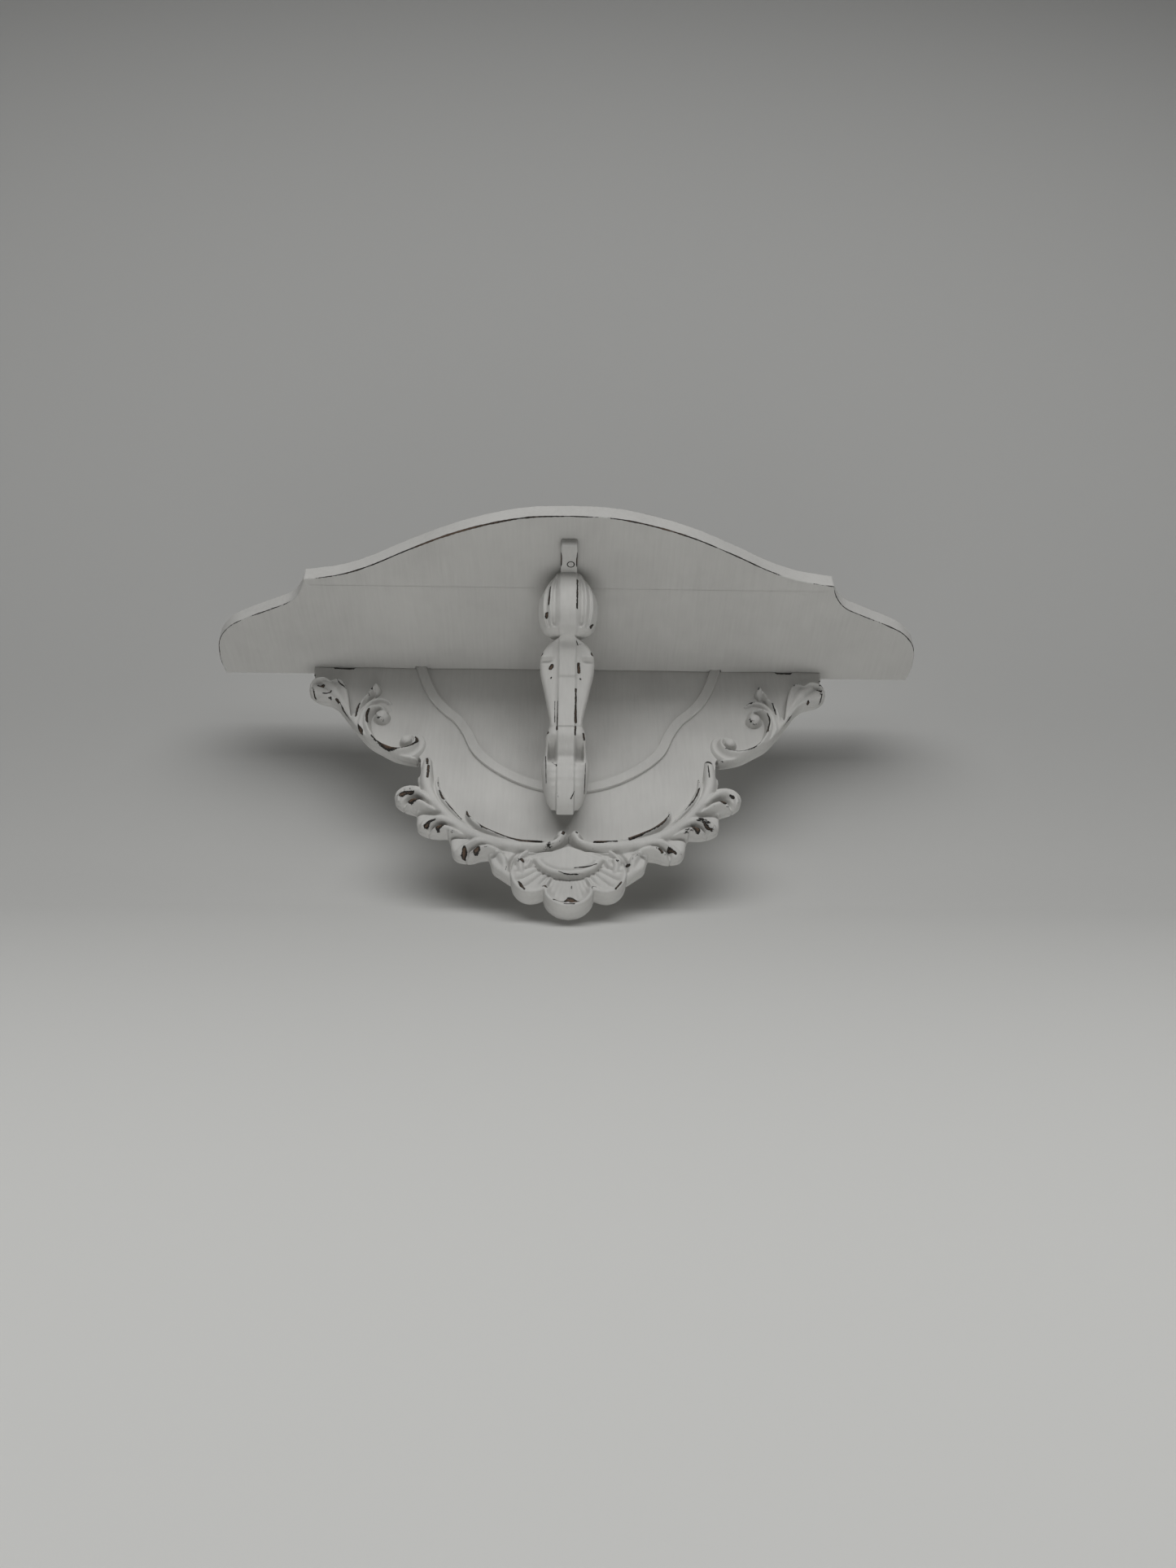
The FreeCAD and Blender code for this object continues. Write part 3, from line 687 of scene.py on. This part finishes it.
# where the paint is rubbed through on each border: lines of places, and half-widths along them
chips_right = [
    ([(202.8, 26.5), (203.6, 29), (201.6, 34)], (0.7,)), ([(191.5, 37.5), (192.2, 42)], (1.2,)),
    ([(182, 46), (176, 52), (170, 61), (165, 69)], (0.5,)), ([(159.6, 24.6), (160.4, 26.6)], (1.0,)),
    ([(156.4, 52.5), (157.4, 61), (155.4, 69), (154.4, 72)], (0.6, 0.9, 1.3)),
    ([(148, 83.4), (142, 88.2), (134.6, 91), (127.5, 90.8), (121, 88)], (0.5, 0.7, 1.0, 0.9, 0.7)),
    ([(153, 85), (156, 80.5)], (0.6,)), ([(105.4, 98.6), (109, 100.6)], (1.1,)),
    ([(106.4, 103), (106.2, 117)], (0.6,)), ([(98, 126), (95.8, 133), (92.6, 139.6)], (0.9, 1.0, 0.6)),
    ([(92, 141), (86, 148)], (0.4,)),
    ([(74.4, 149), (73, 152), (69.6, 158), (62, 164.6), (53, 170), (44.5, 174)],
     (0.7, 0.8, 1.1, 1.3, 1.5, 1.9)),
    ([(35, 177), (26, 176.6), (16, 175.2)], (0.8, 1.1, 1.3)), ([(5.6, 169.8), (6.4, 170.2)], (1.0,)),
    ([(120.6, 133), (123.4, 134.6)], (1.0,)), ([(113.4, 139.8), (116, 140)], (1.6,)),
    ([(99, 158.6), (104.6, 163.2)], (0.7,)), ([(91.6, 163.6), (94.4, 165)], (1.9,)),
    ([(72, 181), (77.4, 184.6)], (1.0,)), ([(65.6, 182.8), (67.4, 184.4)], (1.3,)),
    ([(34, 193), (35.6, 194)], (0.9,)), ([(41.6, 194), (43.4, 196.4)], (0.8,)),
    ([(162, 40), (163.8, 52)], (0.6,)), ([(201, 21.6), (203.4, 24.6)], (1.0,)),
]
chips_left = [
    ([(186, 17.5), (182, 23), (177, 29)], (0.5, 0.9, 0.4)), ([(196.5, 24), (199.5, 23.4)], (1.7,)),
    ([(203.4, 27), (202, 33), (200, 35.6)], (0.4, 0.8)),
    ([(188, 38.6), (192.4, 39), (191.6, 41.5)], (1.2,)), ([(180, 44), (175, 53), (168, 64)], (0.5,)),
    ([(163.5, 66), (160.6, 74), (160, 78.5)], (0.5, 1.9, 1.6)), ([(157.2, 26), (157, 28.4)], (1.4,)),
    ([(156.2, 52), (157.2, 58), (156.4, 66)], (0.9,)), ([(151.6, 80), (147.4, 85)], (0.9,)),
    ([(147, 85), (141, 89.2), (134, 91.6), (129, 91.4)], (0.8, 1.6, 1.8, 0.8)),
    ([(145.6, 90.6), (139, 94)], (0.8,)), ([(153, 84), (148.6, 88.6)], (0.5,)),
    ([(127.5, 91), (121, 88), (116.8, 82.4), (117.2, 78.4)], (0.7, 0.6, 0.8, 1.3)),
    ([(108, 97), (107, 104)], (1.1,)), ([(106, 106), (105.6, 119)], (1.0,)),
    ([(98, 120), (97.6, 126)], (0.4,)), ([(96, 131), (93.8, 137), (92, 140)], (0.9, 1.3, 0.8)),
    ([(90.6, 142), (84.6, 149.6), (78, 157.4)], (0.5,)),
    ([(74.4, 147.6), (73.6, 151), (71.6, 153)], (1.3,)),
    ([(66.6, 158.8), (61.6, 164), (52, 170)], (1.1, 1.4, 1.1)),
    ([(52, 170), (44, 173.6), (33, 177), (24, 177.2), (19, 176.6)], (1.1, 1.1, 1.3, 1.7, 0.8)),
    ([(3.4, 168.8), (4, 171)], (1.5,)), ([(115, 133.4), (120.6, 133), (124.4, 135)], (0.7, 0.9, 1.2)),
    ([(112, 139.4), (116.6, 141)], (2.2,)), ([(97, 158.4), (101, 159.4), (104, 162.4)], (0.7, 1.0, 1.6)),
    ([(92.4, 163), (94.6, 164.6)], (2.4,)), ([(74.6, 182.6), (75.2, 187)], (1.7,)),
    ([(65, 183.6), (66.4, 184.8)], (1.9,)), ([(33.4, 193.4), (34.4, 194.6)], (1.3,)),
    ([(44, 198), (44.6, 200.6)], (0.5,)), ([(163.6, 36), (165, 46), (166, 58)], (0.6, 1.5, 0.8)),
    ([(195, 33.5), (191, 34.6), (188.6, 32)], (0.8,)), ([(183.5, 40), (181, 43.6)], (1.0,)),
    ([(178, 48.6), (174.6, 55)], (0.9,)),
]
border = carve_border()
crests_rubbed = border.rubbed.copy()
for name, mirror, chips in (("carved_border_right", 1, chips_right),
                            ("carved_border_left", -1, chips_left)):
    border.rubbed = crests_rubbed.copy()
    for line, widths in chips:
        border.rub_or_shade(line, widths)
    points, faces, worn_or_shaded = border.solid(back_at=border_back, hidden_below=within_field, seam=border_seam)
    if mirror < 0:
        faces = [face[::-1] for face in faces]
    add_piece(name, points * (mirror, 1, 1), faces, plate_paint, ["back_plate"], worn_or_shaded)

# ---------------------------------------------------------------------------
# The shell in the middle, carved with the border from the same wood: an almond
# boss under the two curled stem ends, and a fluted shell of three lobes.
# ---------------------------------------------------------------------------
half_shell = np.vstack([
    smooth_line([(0, 234.6), (7, 233.2), (12.6, 229.4), (16.4, 224.4), (17.8, 219.4)], 1.2),
    smooth_line([(17.8, 219.4), (22.5, 221.4), (28, 222), (34, 219.6), (38.8, 214), (41.2, 206.5)], 1.2),
    np.array([(40, 196), (33, 186), (20, 181), (8, 177)])])
shell = Relief((-43, 43), (172, 236), 0.48, 9.0)
shell.gap = outside(shell.place, np.vstack([half_shell, (half_shell * (-1, 1))[::-1]]))
scallops = np.vstack([half_shell[:-4], (half_shell[:-4] * (-1, 1))[::-1]])
scallops = scallops[np.argsort(scallops[:, 0], kind="stable")]
# the fluted dish: it rises from the hinge to a lip along the scallops, and its flutes are powers of
# sine waves of the angle about the hinge, fine on the middle lobe and broad on the other two
hinge_drop = 184
radius = np.hypot(shell.place[..., 0], shell.place[..., 1] - hinge_drop)
angle = np.degrees(np.arctan2(np.abs(shell.place[..., 0]), shell.place[..., 1] - hinge_drop))
from_lip = beside(shell.place, scallops)[0]
middle_lobe = step_up(-angle, -27, -22)
lip = 5.2 + 1.8 * middle_lobe
shell.height = 10.6 + 0.11 * (radius - 18) + lip * np.exp(-((from_lip - 0.9) / 4.2) ** 2)
fine_flutes = 0.8 * np.abs(np.sin(np.radians(angle + 2.8) * 32)) ** 0.6
broad_flutes = 2.2 * np.abs(np.sin(np.radians(angle - 25) * 19)) ** 0.7
fade = np.clip((from_lip - 1.6) / 5, 0, 1) * np.clip((radius - 15) / 5, 0, 1)
shell.height += fade * (middle_lobe * fine_flutes + (1 - middle_lobe) * broad_flutes)
# on each side: the rib between the lobes, the collar round the almond, the knuckle that it ends in, and
# the leaf vein beside it, each as a line, half-widths, crests, foot and blend
rib = ([(16.9, 217.4), (14.6, 211), (13, 206.6)], (2.2, 1.6, 0.8), (18.4, 16.4, 14), 9, 1.2)
collar = ([(6, 183.4), (12, 185.4), (20.6, 188.4), (26.4, 192.2), (30, 197.6)],
          (1.6, 2.2, 2.5, 2.6, 2.2), (15.4, 16.4, 17, 17, 15.6), 10, 1.0)
knuckle = ([(33.4, 193), (34.2, 197.6), (33.6, 201.6)], (3.0, 3.6, 3.2), (17.4, 17.8, 16.4), 9, 0.8)
vein = ([(26, 185.8), (36.8, 187.3), (41.4, 192)], (1.2, 1.8, 1.4), (14, 16, 15), 9, 0.8)
for mirror in (1, -1):
    for line, widths, crests, foot, blend in (rib, collar, knuckle, vein):
        shell.stroke(np.array(line) * (mirror, 1), widths, crests, foot=foot, blend=blend)
# the almond boss, domed, with a groove round it and another just inside its lower side
half_almond = smooth_line([(0, 180.2), (9, 183.8), (18, 187.8), (26.2, 191.4)], 1.0)
half_lower = smooth_line([(26.2, 191.4), (19.4, 200.2), (10.8, 205), (0, 206.6)], 1.0)
half_almond = np.vstack([half_almond, half_lower[1:]])
almond_gap = outside(shell.place, np.vstack([half_almond, (half_almond * (-1, 1))[::-1][1:-1]]))
boss = 15.2 + 2.9 * np.sqrt(np.clip(-almond_gap / 6, 0, 1))
shell.height = np.where(almond_gap < 0, boss, shell.height)
lower_side = np.clip((shell.place[..., 1] - 188) / 5, 0, 1)
shell.height -= 1.9 * np.exp(-((almond_gap - 0.6) / 0.9) ** 2)
shell.height -= 0.9 * lower_side * np.exp(-((almond_gap + 3.7) / 0.7) ** 2)
shell.height = blurred(shell.height, 0.8)
shell.round_rim(1.7)
shell.rub_crests(0.30, 2.0)
for line, widths in [
    ([(-2.4, 227), (0.4, 225.6), (3.4, 227.2), (6.8, 229.8)], (1.3, 2.9, 2.6, 1.2)),
    ([(-10, 229), (-5, 228.2), (-1, 227.6)], (0.9,)), ([(-3, 232.6), (4, 232.6)], (0.8,)),
    ([(-7, 203.4), (-3, 204.9), (2, 205.4), (8, 204.8)], (0.5, 0.6, 0.5, 0.4)),
    ([(4, 201), (12, 199.8), (20, 196.8)], (0.5,)), ([(2.2, 213), (2.2, 215)], (0.6,)),
    ([(-34.6, 213), (-33, 216), (-30.6, 219.6)], (1.1, 1.8, 1.0)),
    ([(32.8, 219), (35.6, 215.4), (36.8, 213.6)], (0.9,)), ([(-18, 216.4), (-15.4, 216.8)], (1.0,)),
    ([(16.4, 219), (16.8, 216.8), (19.4, 216.6)], (0.6,)), ([(24, 187), (26, 188)], (0.7,)),
    ([(-33.6, 193.4), (-32.6, 194.6)], (1.2,)), ([(34, 193.6), (34.8, 194.8)], (0.9,)),
]:
    shell.rub_or_shade(line, widths)
points, faces, worn_or_shaded = shell.solid(back_at=shell_back, seam=shell_seam)
add_piece("carved_shell", points, faces, plate_paint, ["back_plate"], worn_or_shaded)

# ---------------------------------------------------------------------------
# The console leg: one S-shaped carved piece. A flat tongue lies under the
# board, then comes a fluted knee, a waist, a second leaf, and a drum foot with
# two hollows, and a raised band runs down the front of it all. It leans a
# little to the left, as it was screwed on.
# ---------------------------------------------------------------------------
leg_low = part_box("console_leg")[0]
plate_face = field_thickness
lean_top, lean_foot = -1.3, -2.8
band_half, band_proud = 6.0, 1.5
tail_past = 3.6                         # the band runs on past the foot by this much
hollow_depth = 8.0                      # the two hollows over the foot
# each station: front edge (out from the plate, drop), back edge (out, drop), half the width
stations = [
    (110.5, 6, 78.5, 1, 11.6), (112.5, 19, 76.5, 9, 18.9), (112.5, 31, 74.5, 18, 21.8),
    (107, 42, 72.5, 26, 22), (99, 48.5, 70.5, 32, 19.2), (95, 50, 69.4, 35.4, 14.5),
    (90.5, 50.5, 68, 38, 6.8), (83, 50.5, 64.5, 44, 14.4), (77.5, 57, 60, 50, 19.6),
    (70.5, 66, 54.5, 58, 20), (60.5, 83, 44.5, 72, 16.2), (51, 103, 33.5, 91, 12.3),
    (48, 110.6, 27.5, 99, 14.8), (41.6, 116.4, 20, 105, 15), (36.6, 122.4, 11, 109, 16.6),
    (37.6, 130, 3, 113, 17.6), (37.5, 139, -2, 122, 17), (33, 147, -2, 130, 15.8),
    (26, 153.4, -2, 136, 13.8), (17, 156.4, -2, 140, 10.4),
]


def bell(value, middle, spread, power=2):
    """1 at the middle, falling away to both sides, with a flatter top for a higher power."""
    return np.exp(-np.abs((value - middle) / spread) ** power)


def leg_surface(rings, around):
    """Rings of a loft through the stations. A ring is a rounded oblong from the front edge to the
    back edge; its front is then moved in and out by the band, flutes, steps and hollows, which
    depend on the station number and on the distance across."""
    numbered = [row + (i * 4.0,) for i, row in enumerate(stations)]
    line = smooth_line(numbered, 0.5)
    line = line[np.linspace(0, len(line) - 1, rings).round().astype(int)]
    front_out, front_drop, back_out, back_drop, half = (line[:, k, None] for k in range(5))
    number = line[:, 5, None] / 4
    turn = np.linspace(0, 2 * np.pi, around, endpoint=False)[None]
    flat, deep = np.cos(turn), np.sin(turn)
    x = half * np.sign(flat) * np.abs(flat) ** 0.62
    back_share = 0.5 - 0.5 * np.sign(deep) * np.abs(deep) ** 0.72
    u = np.abs(x) / half
    beyond = np.clip((np.abs(x) - 7) / np.maximum(half - 7, 1), 0, 1)
    facing = step_up(np.broadcast_to(deep, x.shape), -0.05, 0.5)
    band = step_up(-np.abs(x), -band_half - 0.9, -band_half + 0.1)
    steps = 0.0
    for start, end in ((6.9, 9.3), (9.38, 11.1)):
        steps = steps + 0.9 * step_up(number, start, end) * step_up(-number, -end - 0.1, -end)
    carve = band * (band_proud + steps - 0.9 * bell(number, 14.0, 0.5))
    # the knee: flutes that fan over it, a rib beside the band at its top, and a dip at its lower end
    knee = step_up(number, 0.1, 1.0) * (1 - step_up(number, 3.9, 4.6))
    carve = carve - 2.7 * knee * np.sin(np.pi * 2.5 * beyond) ** 2 * (beyond > 0)
    carve = carve + 1.6 * bell(number, 0.3, 0.3) * bell(np.abs(x), 8.6, 1.5)
    carve = carve - 1.8 * bell(number, 3.72, 0.3) * bell(np.abs(x), 10.0, 3.2)
    # the second leaf: a raised edge with a valley beside the band, and a fold with a crease below it
    leaf = step_up(number, 7.1, 7.8) * (1 - step_up(number, 10.8, 11.3))
    carve = carve + leaf * (0.9 * bell(u, 0.93, 0.16) - 0.9 * bell(np.abs(x), 8.6, 1.6))
    carve = carve - 2.2 * bell(number, 8.5, 0.15) * step_up(np.abs(x), 9, 14)
    carve = carve + 1.5 * bell(number, 8.25, 0.2) * step_up(np.abs(x), 8, 15)
    # the foot: a crease over it, the two hollows, and a few ripples left by the gouge
    carve = carve - 0.7 * bell(number, 11.15, 0.12) * (1 - band)
    carve = carve - hollow_depth * bell(number, 13.5, 1.15, 4) * bell(np.abs(x), 10.0, 3.1, 4)
    carve = carve + 0.4 * np.sin(number * 9) * bell(number, 15.6, 1.6) * bell(np.abs(x), 8, 6)
    # the front is moved by the carving along the line from the back edge to the front edge
    along_out, along_drop = front_out - back_out, front_drop - back_drop
    length = np.hypot(along_out, along_drop)
    out = front_out - along_out * back_share + facing * carve * along_out / length
    drop = front_drop - along_drop * back_share + facing * carve * along_drop / length
    drop = drop + tail_past * band * facing * step_up(number, 16.4, 18.4)
    x = x * (1 - 0.05 * knee * np.sin(np.pi * 3 * back_share) ** 2)
    lean = lean_top + (lean_foot - lean_top) * np.clip(front_drop / 150, 0, 1)
    points = np.stack([x + lean, -(plate_face + out), board_under - drop], -1)
    return points, number + 0 * x, x, facing


leg_rings, leg_around = 400, 216
grid, number, across, facing = leg_surface(leg_rings, leg_around)
leg_worn = 0.50 * bell(np.abs(across), band_half + 0.5, 0.7) * facing
leg_worn = np.maximum(leg_worn, 0.42 * bell(facing, 0.35, 0.25))
# rubbed marks: the two ends of each, as (across, station number), and its half-width
leg_chips = [
    ((6.4, 0.8), (6.4, 2.9), 0.85), ((-13.2, 1.2), (-14.2, 2.6), 0.7), ((-15.2, 3.1), (-15.6, 3.3), 1.3),
    ((16.5, 4.1), (18.5, 3.7), 0.9), ((-11.2, 8.85), (-12.4, 9), 1.5), ((8.2, 8.7), (8.8, 9.15), 1.2),
    ((-11.6, 9.38), (-11.8, 9.42), 0.8), ((9.6, 9.42), (10.2, 9.44), 0.8),
    ((-18.6, 7.9), (-18.9, 8), 1.2), ((18.4, 7.85), (18.6, 8), 1.3), ((6.6, 6.95), (7.4, 7.3), 0.6),
    ((7.4, 7.3), (10.6, 7.15), 0.5), ((6.6, 9.8), (6.8, 10.9), 1.0), ((-6.6, 10.2), (-6.6, 11.2), 0.5),
    ((-8.6, 10.2), (-8.4, 10.9), 0.4), ((-6.8, 11.2), (-6.8, 11.5), 0.8), ((6.6, 11.2), (6.6, 12), 0.8),
    ((-13.6, 11.6), (-13.4, 11.75), 0.9), ((12.6, 11.8), (13.4, 12.3), 0.8),
    ((-14.6, 13.8), (-13.8, 16.6), 0.4), ((14.6, 14.6), (14.0, 17.4), 0.4),
    ((-7, 15), (-6.4, 15.2), 0.6), ((-6, 17.2), (-5, 17.6), 0.4), ((4.2, 17.7), (6.4, 17.3), 0.5),
    ((-10, 14.5), (-8, 15), 0.35),
]
front_run = np.r_[0, np.cumsum(np.hypot(*np.diff(np.array(stations)[:, :2], axis=0).T))]
station_numbers = np.arange(len(stations))
run = np.interp(number, station_numbers, front_run)
for first, second, width in leg_chips:
    ends = np.array([(x, np.interp(n, station_numbers, front_run)) for x, n in (first, second)])
    gap = beside(np.stack([across, run], -1), ends)[0]
    spot = (1.05 + 0.3 * width) * np.clip(1 - 0.5 * gap / width, 0, 1)
    leg_worn = np.maximum(leg_worn, spot * (facing > 0.15))
points = grid.reshape(-1, 3)
last = (leg_rings - 1) * leg_around
faces = ring_faces(leg_rings, leg_around).tolist()
faces += [list(range(leg_around))[::-1], list(range(last, last + leg_around))]
leg_paint = chalk_paint("chalk_paint_leg", (1, 0.3, 0.15))
add_piece("console_leg_carving", points, faces, leg_paint, ["console_leg"], leg_worn)

# the flat tongue under the board: a square section with two eased corners, drawn in at its end. Its
# edges are chipped along a stretch behind the end
tongue_half, tongue_thick, tongue_ease, tongue_end = 6.1, 7.9, 1.0, -leg_low.y / MM
tongue_start, end_length, chipped_from_end, chipped_half = 90, 4, 13, 8
square = []
for corner_x, corner_z, first in ((-1, -1, np.pi), (1, -1, 1.5 * np.pi)):
    bend = first + np.linspace(0, np.pi / 2, 7)
    square.append(np.c_[corner_x * (tongue_half - tongue_ease) + tongue_ease * np.cos(bend),
                        corner_z * (tongue_thick - tongue_ease) + tongue_ease * np.sin(bend)])
floor = np.c_[np.linspace(-3.6, 3.6, 5), np.full(5, -tongue_thick)]
square = np.vstack([[(-tongue_half, -0.05)], square[0], floor, square[1], [(tongue_half, -0.05)]])
middle = np.c_[np.linspace(tongue_half, -tongue_half, 8)[1:-1], np.full(6, -0.05)]
square = np.vstack([square, middle])
tip = np.linspace(0.2, np.pi / 2, 7)
outs = np.r_[np.linspace(tongue_start, tongue_end - end_length, 60),
             tongue_end - end_length + end_length * np.sin(tip)]
shrink = np.r_[np.ones(60), 1 - 0.16 * (1 - np.cos(tip))]
rings = np.stack([np.c_[square[:, 0] * s + lean_top, np.full(len(square), -o),
                        board_under + square[:, 1] * s] for o, s in zip(outs, shrink)])
points = rings.reshape(-1, 3)
faces = ring_faces(len(outs), len(square)).tolist()
last = (len(outs) - 1) * len(square)
faces += [list(range(len(square)))[::-1], list(range(last, last + len(square)))]
edge_gap = np.tile(tongue_half - np.abs(square[:, 0]), len(outs))
worn_or_shaded = 1.35 * bell(edge_gap, 0.0, 1.2) * (points[:, 2] < board_under - 4)
worn_or_shaded *= bell(-points[:, 1], tongue_end - chipped_from_end, chipped_half, 4)
add_piece("console_leg_tongue", points, faces, leg_paint, ["console_leg"], worn_or_shaded)


# ---------------------------------------------------------------------------
# The fittings: slotted and crossed steel screws, those in front touched over
# with the paint, and two zinc-plated keyhole hangers screwed to the back.
# ---------------------------------------------------------------------------
def zinc_plate(name):
    """Zinc plating on steel: a mottled grey metal whose spangles differ in shine."""
    finish = Finish(name)
    spangle = finish.noise(0.0035, detail=1.0)
    scuff = finish.noise(0.0012, (1, 1, 0.25), detail=4.0, rough=0.7)
    tone = finish.mix(spangle.rise(0.3, 0.7), (0.44, 0.45, 0.46, 1), (0.60, 0.61, 0.62, 1))
    finish.join(finish.shader.inputs["Base Color"], tone)
    finish.join(finish.shader.inputs["Roughness"], spangle * 0.25 + scuff * 0.2 + 0.2)
    finish.join(finish.shader.inputs["Normal"], finish.bump(scuff, 0.0001))
    finish.shader.inputs["Metallic"].default_value = 1.0
    return finish.material


def painted_screw(name, head, head_radius):
    """Steel under thin chalk paint, which is gone in broken rings round the head; the middle of the head,
    over its cross recess, is darkened as painted shade.
    """
    finish = Finish(name)
    where = finish.node("ShaderNodeTexCoord", out="Object")
    away = finish.node("ShaderNodeVectorMath", {"operation": "DISTANCE"}, {0: where, 1: head}, out="Value")
    fray = finish.noise(0.0016, detail=3.0, rough=0.7)
    rim = away.rise(head_radius * 0.55, head_radius * 0.8) + (fray - 0.5) * 1.4 + 0.30
    # painted shade: a dark patch over the middle of the head, where its cross recess lies
    cross = 1.34 - away.rise(head_radius * 0.25, head_radius * 0.5) + (fray - 0.5) * 1.2
    bared_or_shaded = (rim.rise(0.85, 1.0) + cross.rise(0.75, 0.95)).rise(0.2, 0.6)
    dark_steel_or_shade = (0.022, 0.019, 0.016, 1)
    finish.join(finish.shader.inputs["Base Color"], finish.mix(bared_or_shaded, PAINT_LIGHT, dark_steel_or_shade))
    finish.join(finish.shader.inputs["Roughness"], 0.78 - bared_or_shaded * 0.3)
    finish.join(finish.shader.inputs["Normal"], finish.bump(fray, 0.0003))
    return finish.material


def dress(nodes, finish):
    """Gives the named nodes of the frame a better finish in their own material slots."""
    for node in nodes:
        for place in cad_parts[node].material_slots:
            place.material = finish


screw_low, screw_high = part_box("tongue_screw")
screw_head = ((screw_low.x + screw_high.x) / 2, (screw_low.y + screw_high.y) / 2, screw_low.z)
head_radius = (screw_high.x - screw_low.x) / 2
dress(["tongue_screw"], painted_screw("painted_tongue_screw", screw_head, head_radius))
dress(["board_screws", "foot_screws"], zinc_plate("bright_steel_screws"))
dress(["keyhole_hanger_left", "keyhole_hanger_right", "hanger_screws"], zinc_plate("zinc_plated_steel"))

# ---------------------------------------------------------------------------
# Around the shelf: a pale paper sheet that slopes up under the shell's tip and bends into a wall close
# behind, its colour painted darker upwards as painted shade, soft lamps in front, above and below, and the
# camera under the shelf, looking up at it.
# ---------------------------------------------------------------------------
stage_finish = Finish("wall_painted_darker_upwards")
where = stage_finish.node("ShaderNodeTexCoord", out="Object")
height = stage_finish.node("ShaderNodeSeparateXYZ", {}, {0: where}, out="Z")
# painted shade: the sheet's colour goes from pale low down to grey high up, standing in for the light
# falling off upwards
tone = stage_finish.mix(height.rise(-0.55, 0.10), (0.72, 0.72, 0.70, 1), (0.385, 0.385, 0.376, 1))
stage_finish.join(stage_finish.shader.inputs["Base Color"], tone)
stage_finish.shader.inputs["Roughness"].default_value = 0.9
back = stage_finish.node("ShaderNodeNewGeometry", out="Backfacing")
clear = stage_finish.node("ShaderNodeBsdfTransparent")
solid = Amount(stage_finish, stage_finish.shader.outputs[0])
seen = stage_finish.node("ShaderNodeMixShader", {}, {0: back, 1: solid, 2: clear})
stage_finish.join(stage_finish.tree.nodes["Material Output"].inputs["Surface"], seen)

# the sheet's side view: the slope, an arc that is tangent to slope and wall, and the wall
hang_y, bend_radius, slope = 0.06, 0.09, np.radians(45)
tip_z = cad_low.z - 0.002
corner = np.array([hang_y, tip_z + hang_y * np.tan(slope)])
bend = np.linspace(0, slope, 13)
reach = bend_radius * np.tan(slope / 2)
slope_length, wall_top, side_reach = 3.0, 4.0, 4.0
profile = np.vstack([corner - slope_length * np.array([np.cos(slope), np.sin(slope)]),
                     np.stack([hang_y - bend_radius * (1 - np.sin(bend + np.pi / 2 - slope)),
                               corner[1] + reach - bend_radius * np.cos(bend + np.pi / 2 - slope)], 1),
                     (hang_y, wall_top)])
sheet_points = [(side, y, z) for side in (-side_reach, side_reach) for y, z in profile]
sheet_faces = [(i, i + len(profile), i + len(profile) + 1, i + 1) for i in range(len(profile) - 1)]
sheet_mesh = bpy.data.meshes.new("pale_sheet")
sheet_mesh.from_pydata(sheet_points, [], sheet_faces)
sheet_mesh.polygons.foreach_set("use_smooth", np.ones(len(sheet_mesh.polygons), bool))
sheet_mesh.materials.append(stage_finish.material)
sheet = bpy.data.objects.new("pale_sheet", sheet_mesh)
bpy.context.scene.collection.objects.link(sheet)
sheet.visible_shadow = False

world = bpy.data.worlds.new("studio")
world.use_nodes = True
# the air gives little light of its own, but the camera sees it pale past the sheet
air = world.node_tree.nodes["Background"]
air.inputs["Color"].default_value = (0.80, 0.80, 0.79, 1)
seen_directly = world.node_tree.nodes.new("ShaderNodeLightPath")
brightness = world.node_tree.nodes.new("ShaderNodeMapRange")
brightness.inputs["To Min"].default_value = 0.03
brightness.inputs["To Max"].default_value = 0.45
world.node_tree.links.new(seen_directly.outputs["Is Camera Ray"], brightness.inputs["Value"])
world.node_tree.links.new(brightness.outputs["Result"], air.inputs["Strength"])
bpy.context.scene.world = world
bpy.context.scene.view_settings.view_transform = "Standard"


def soft_light(name, place, width, height, power):
    """An oblong lamp of the given size that faces the middle of the shelf."""
    lamp = bpy.data.lights.new(name, "AREA")
    lamp.shape = "RECTANGLE"
    lamp.size = width
    lamp.size_y = height
    lamp.energy = power
    light = bpy.data.objects.new(name, lamp)
    light.location = place
    aim = Vector((0, -0.05, -0.06)) - Vector(place)
    light.rotation_mode = "QUATERNION"
    light.rotation_quaternion = aim.to_track_quat("-Z", "Y")
    bpy.context.scene.collection.objects.link(light)


soft_light("window", (0, -2.08, 0.97), 3.2, 1.1, 38)
soft_light("window_low", (0.3, -2.26, 0.3), 2.0, 1.0, 7)
soft_light("floor_glow", (0, -0.35, -1.97), 1.2, 1.2, 10)
soft_light("back_glow", (0.2, 2.2, 0.5), 1.0, 1.0, 14)

up_tilt, turn_right, roll = np.radians(38), np.radians(1.887), np.radians(-0.640)
camera_place = Vector((-0.00834, -0.70895, -0.64399))
ahead = Vector((np.sin(turn_right) * np.cos(up_tilt),
                np.cos(turn_right) * np.cos(up_tilt),
                np.sin(up_tilt)))
level = Vector((np.cos(turn_right), -np.sin(turn_right), 0))
upright = level.cross(ahead)
right = level * np.cos(roll) + upright * np.sin(roll)
up = upright * np.cos(roll) - level * np.sin(roll)
lens = bpy.data.cameras.new("camera")
lens.sensor_width = 36
lens.lens = 36 * 1445 / 1927
camera = bpy.data.objects.new("camera", lens)
camera.matrix_world = Matrix.Translation(camera_place) @ Matrix((right, up, -ahead)).transposed().to_4x4()
bpy.context.scene.collection.objects.link(camera)
bpy.context.scene.camera = camera
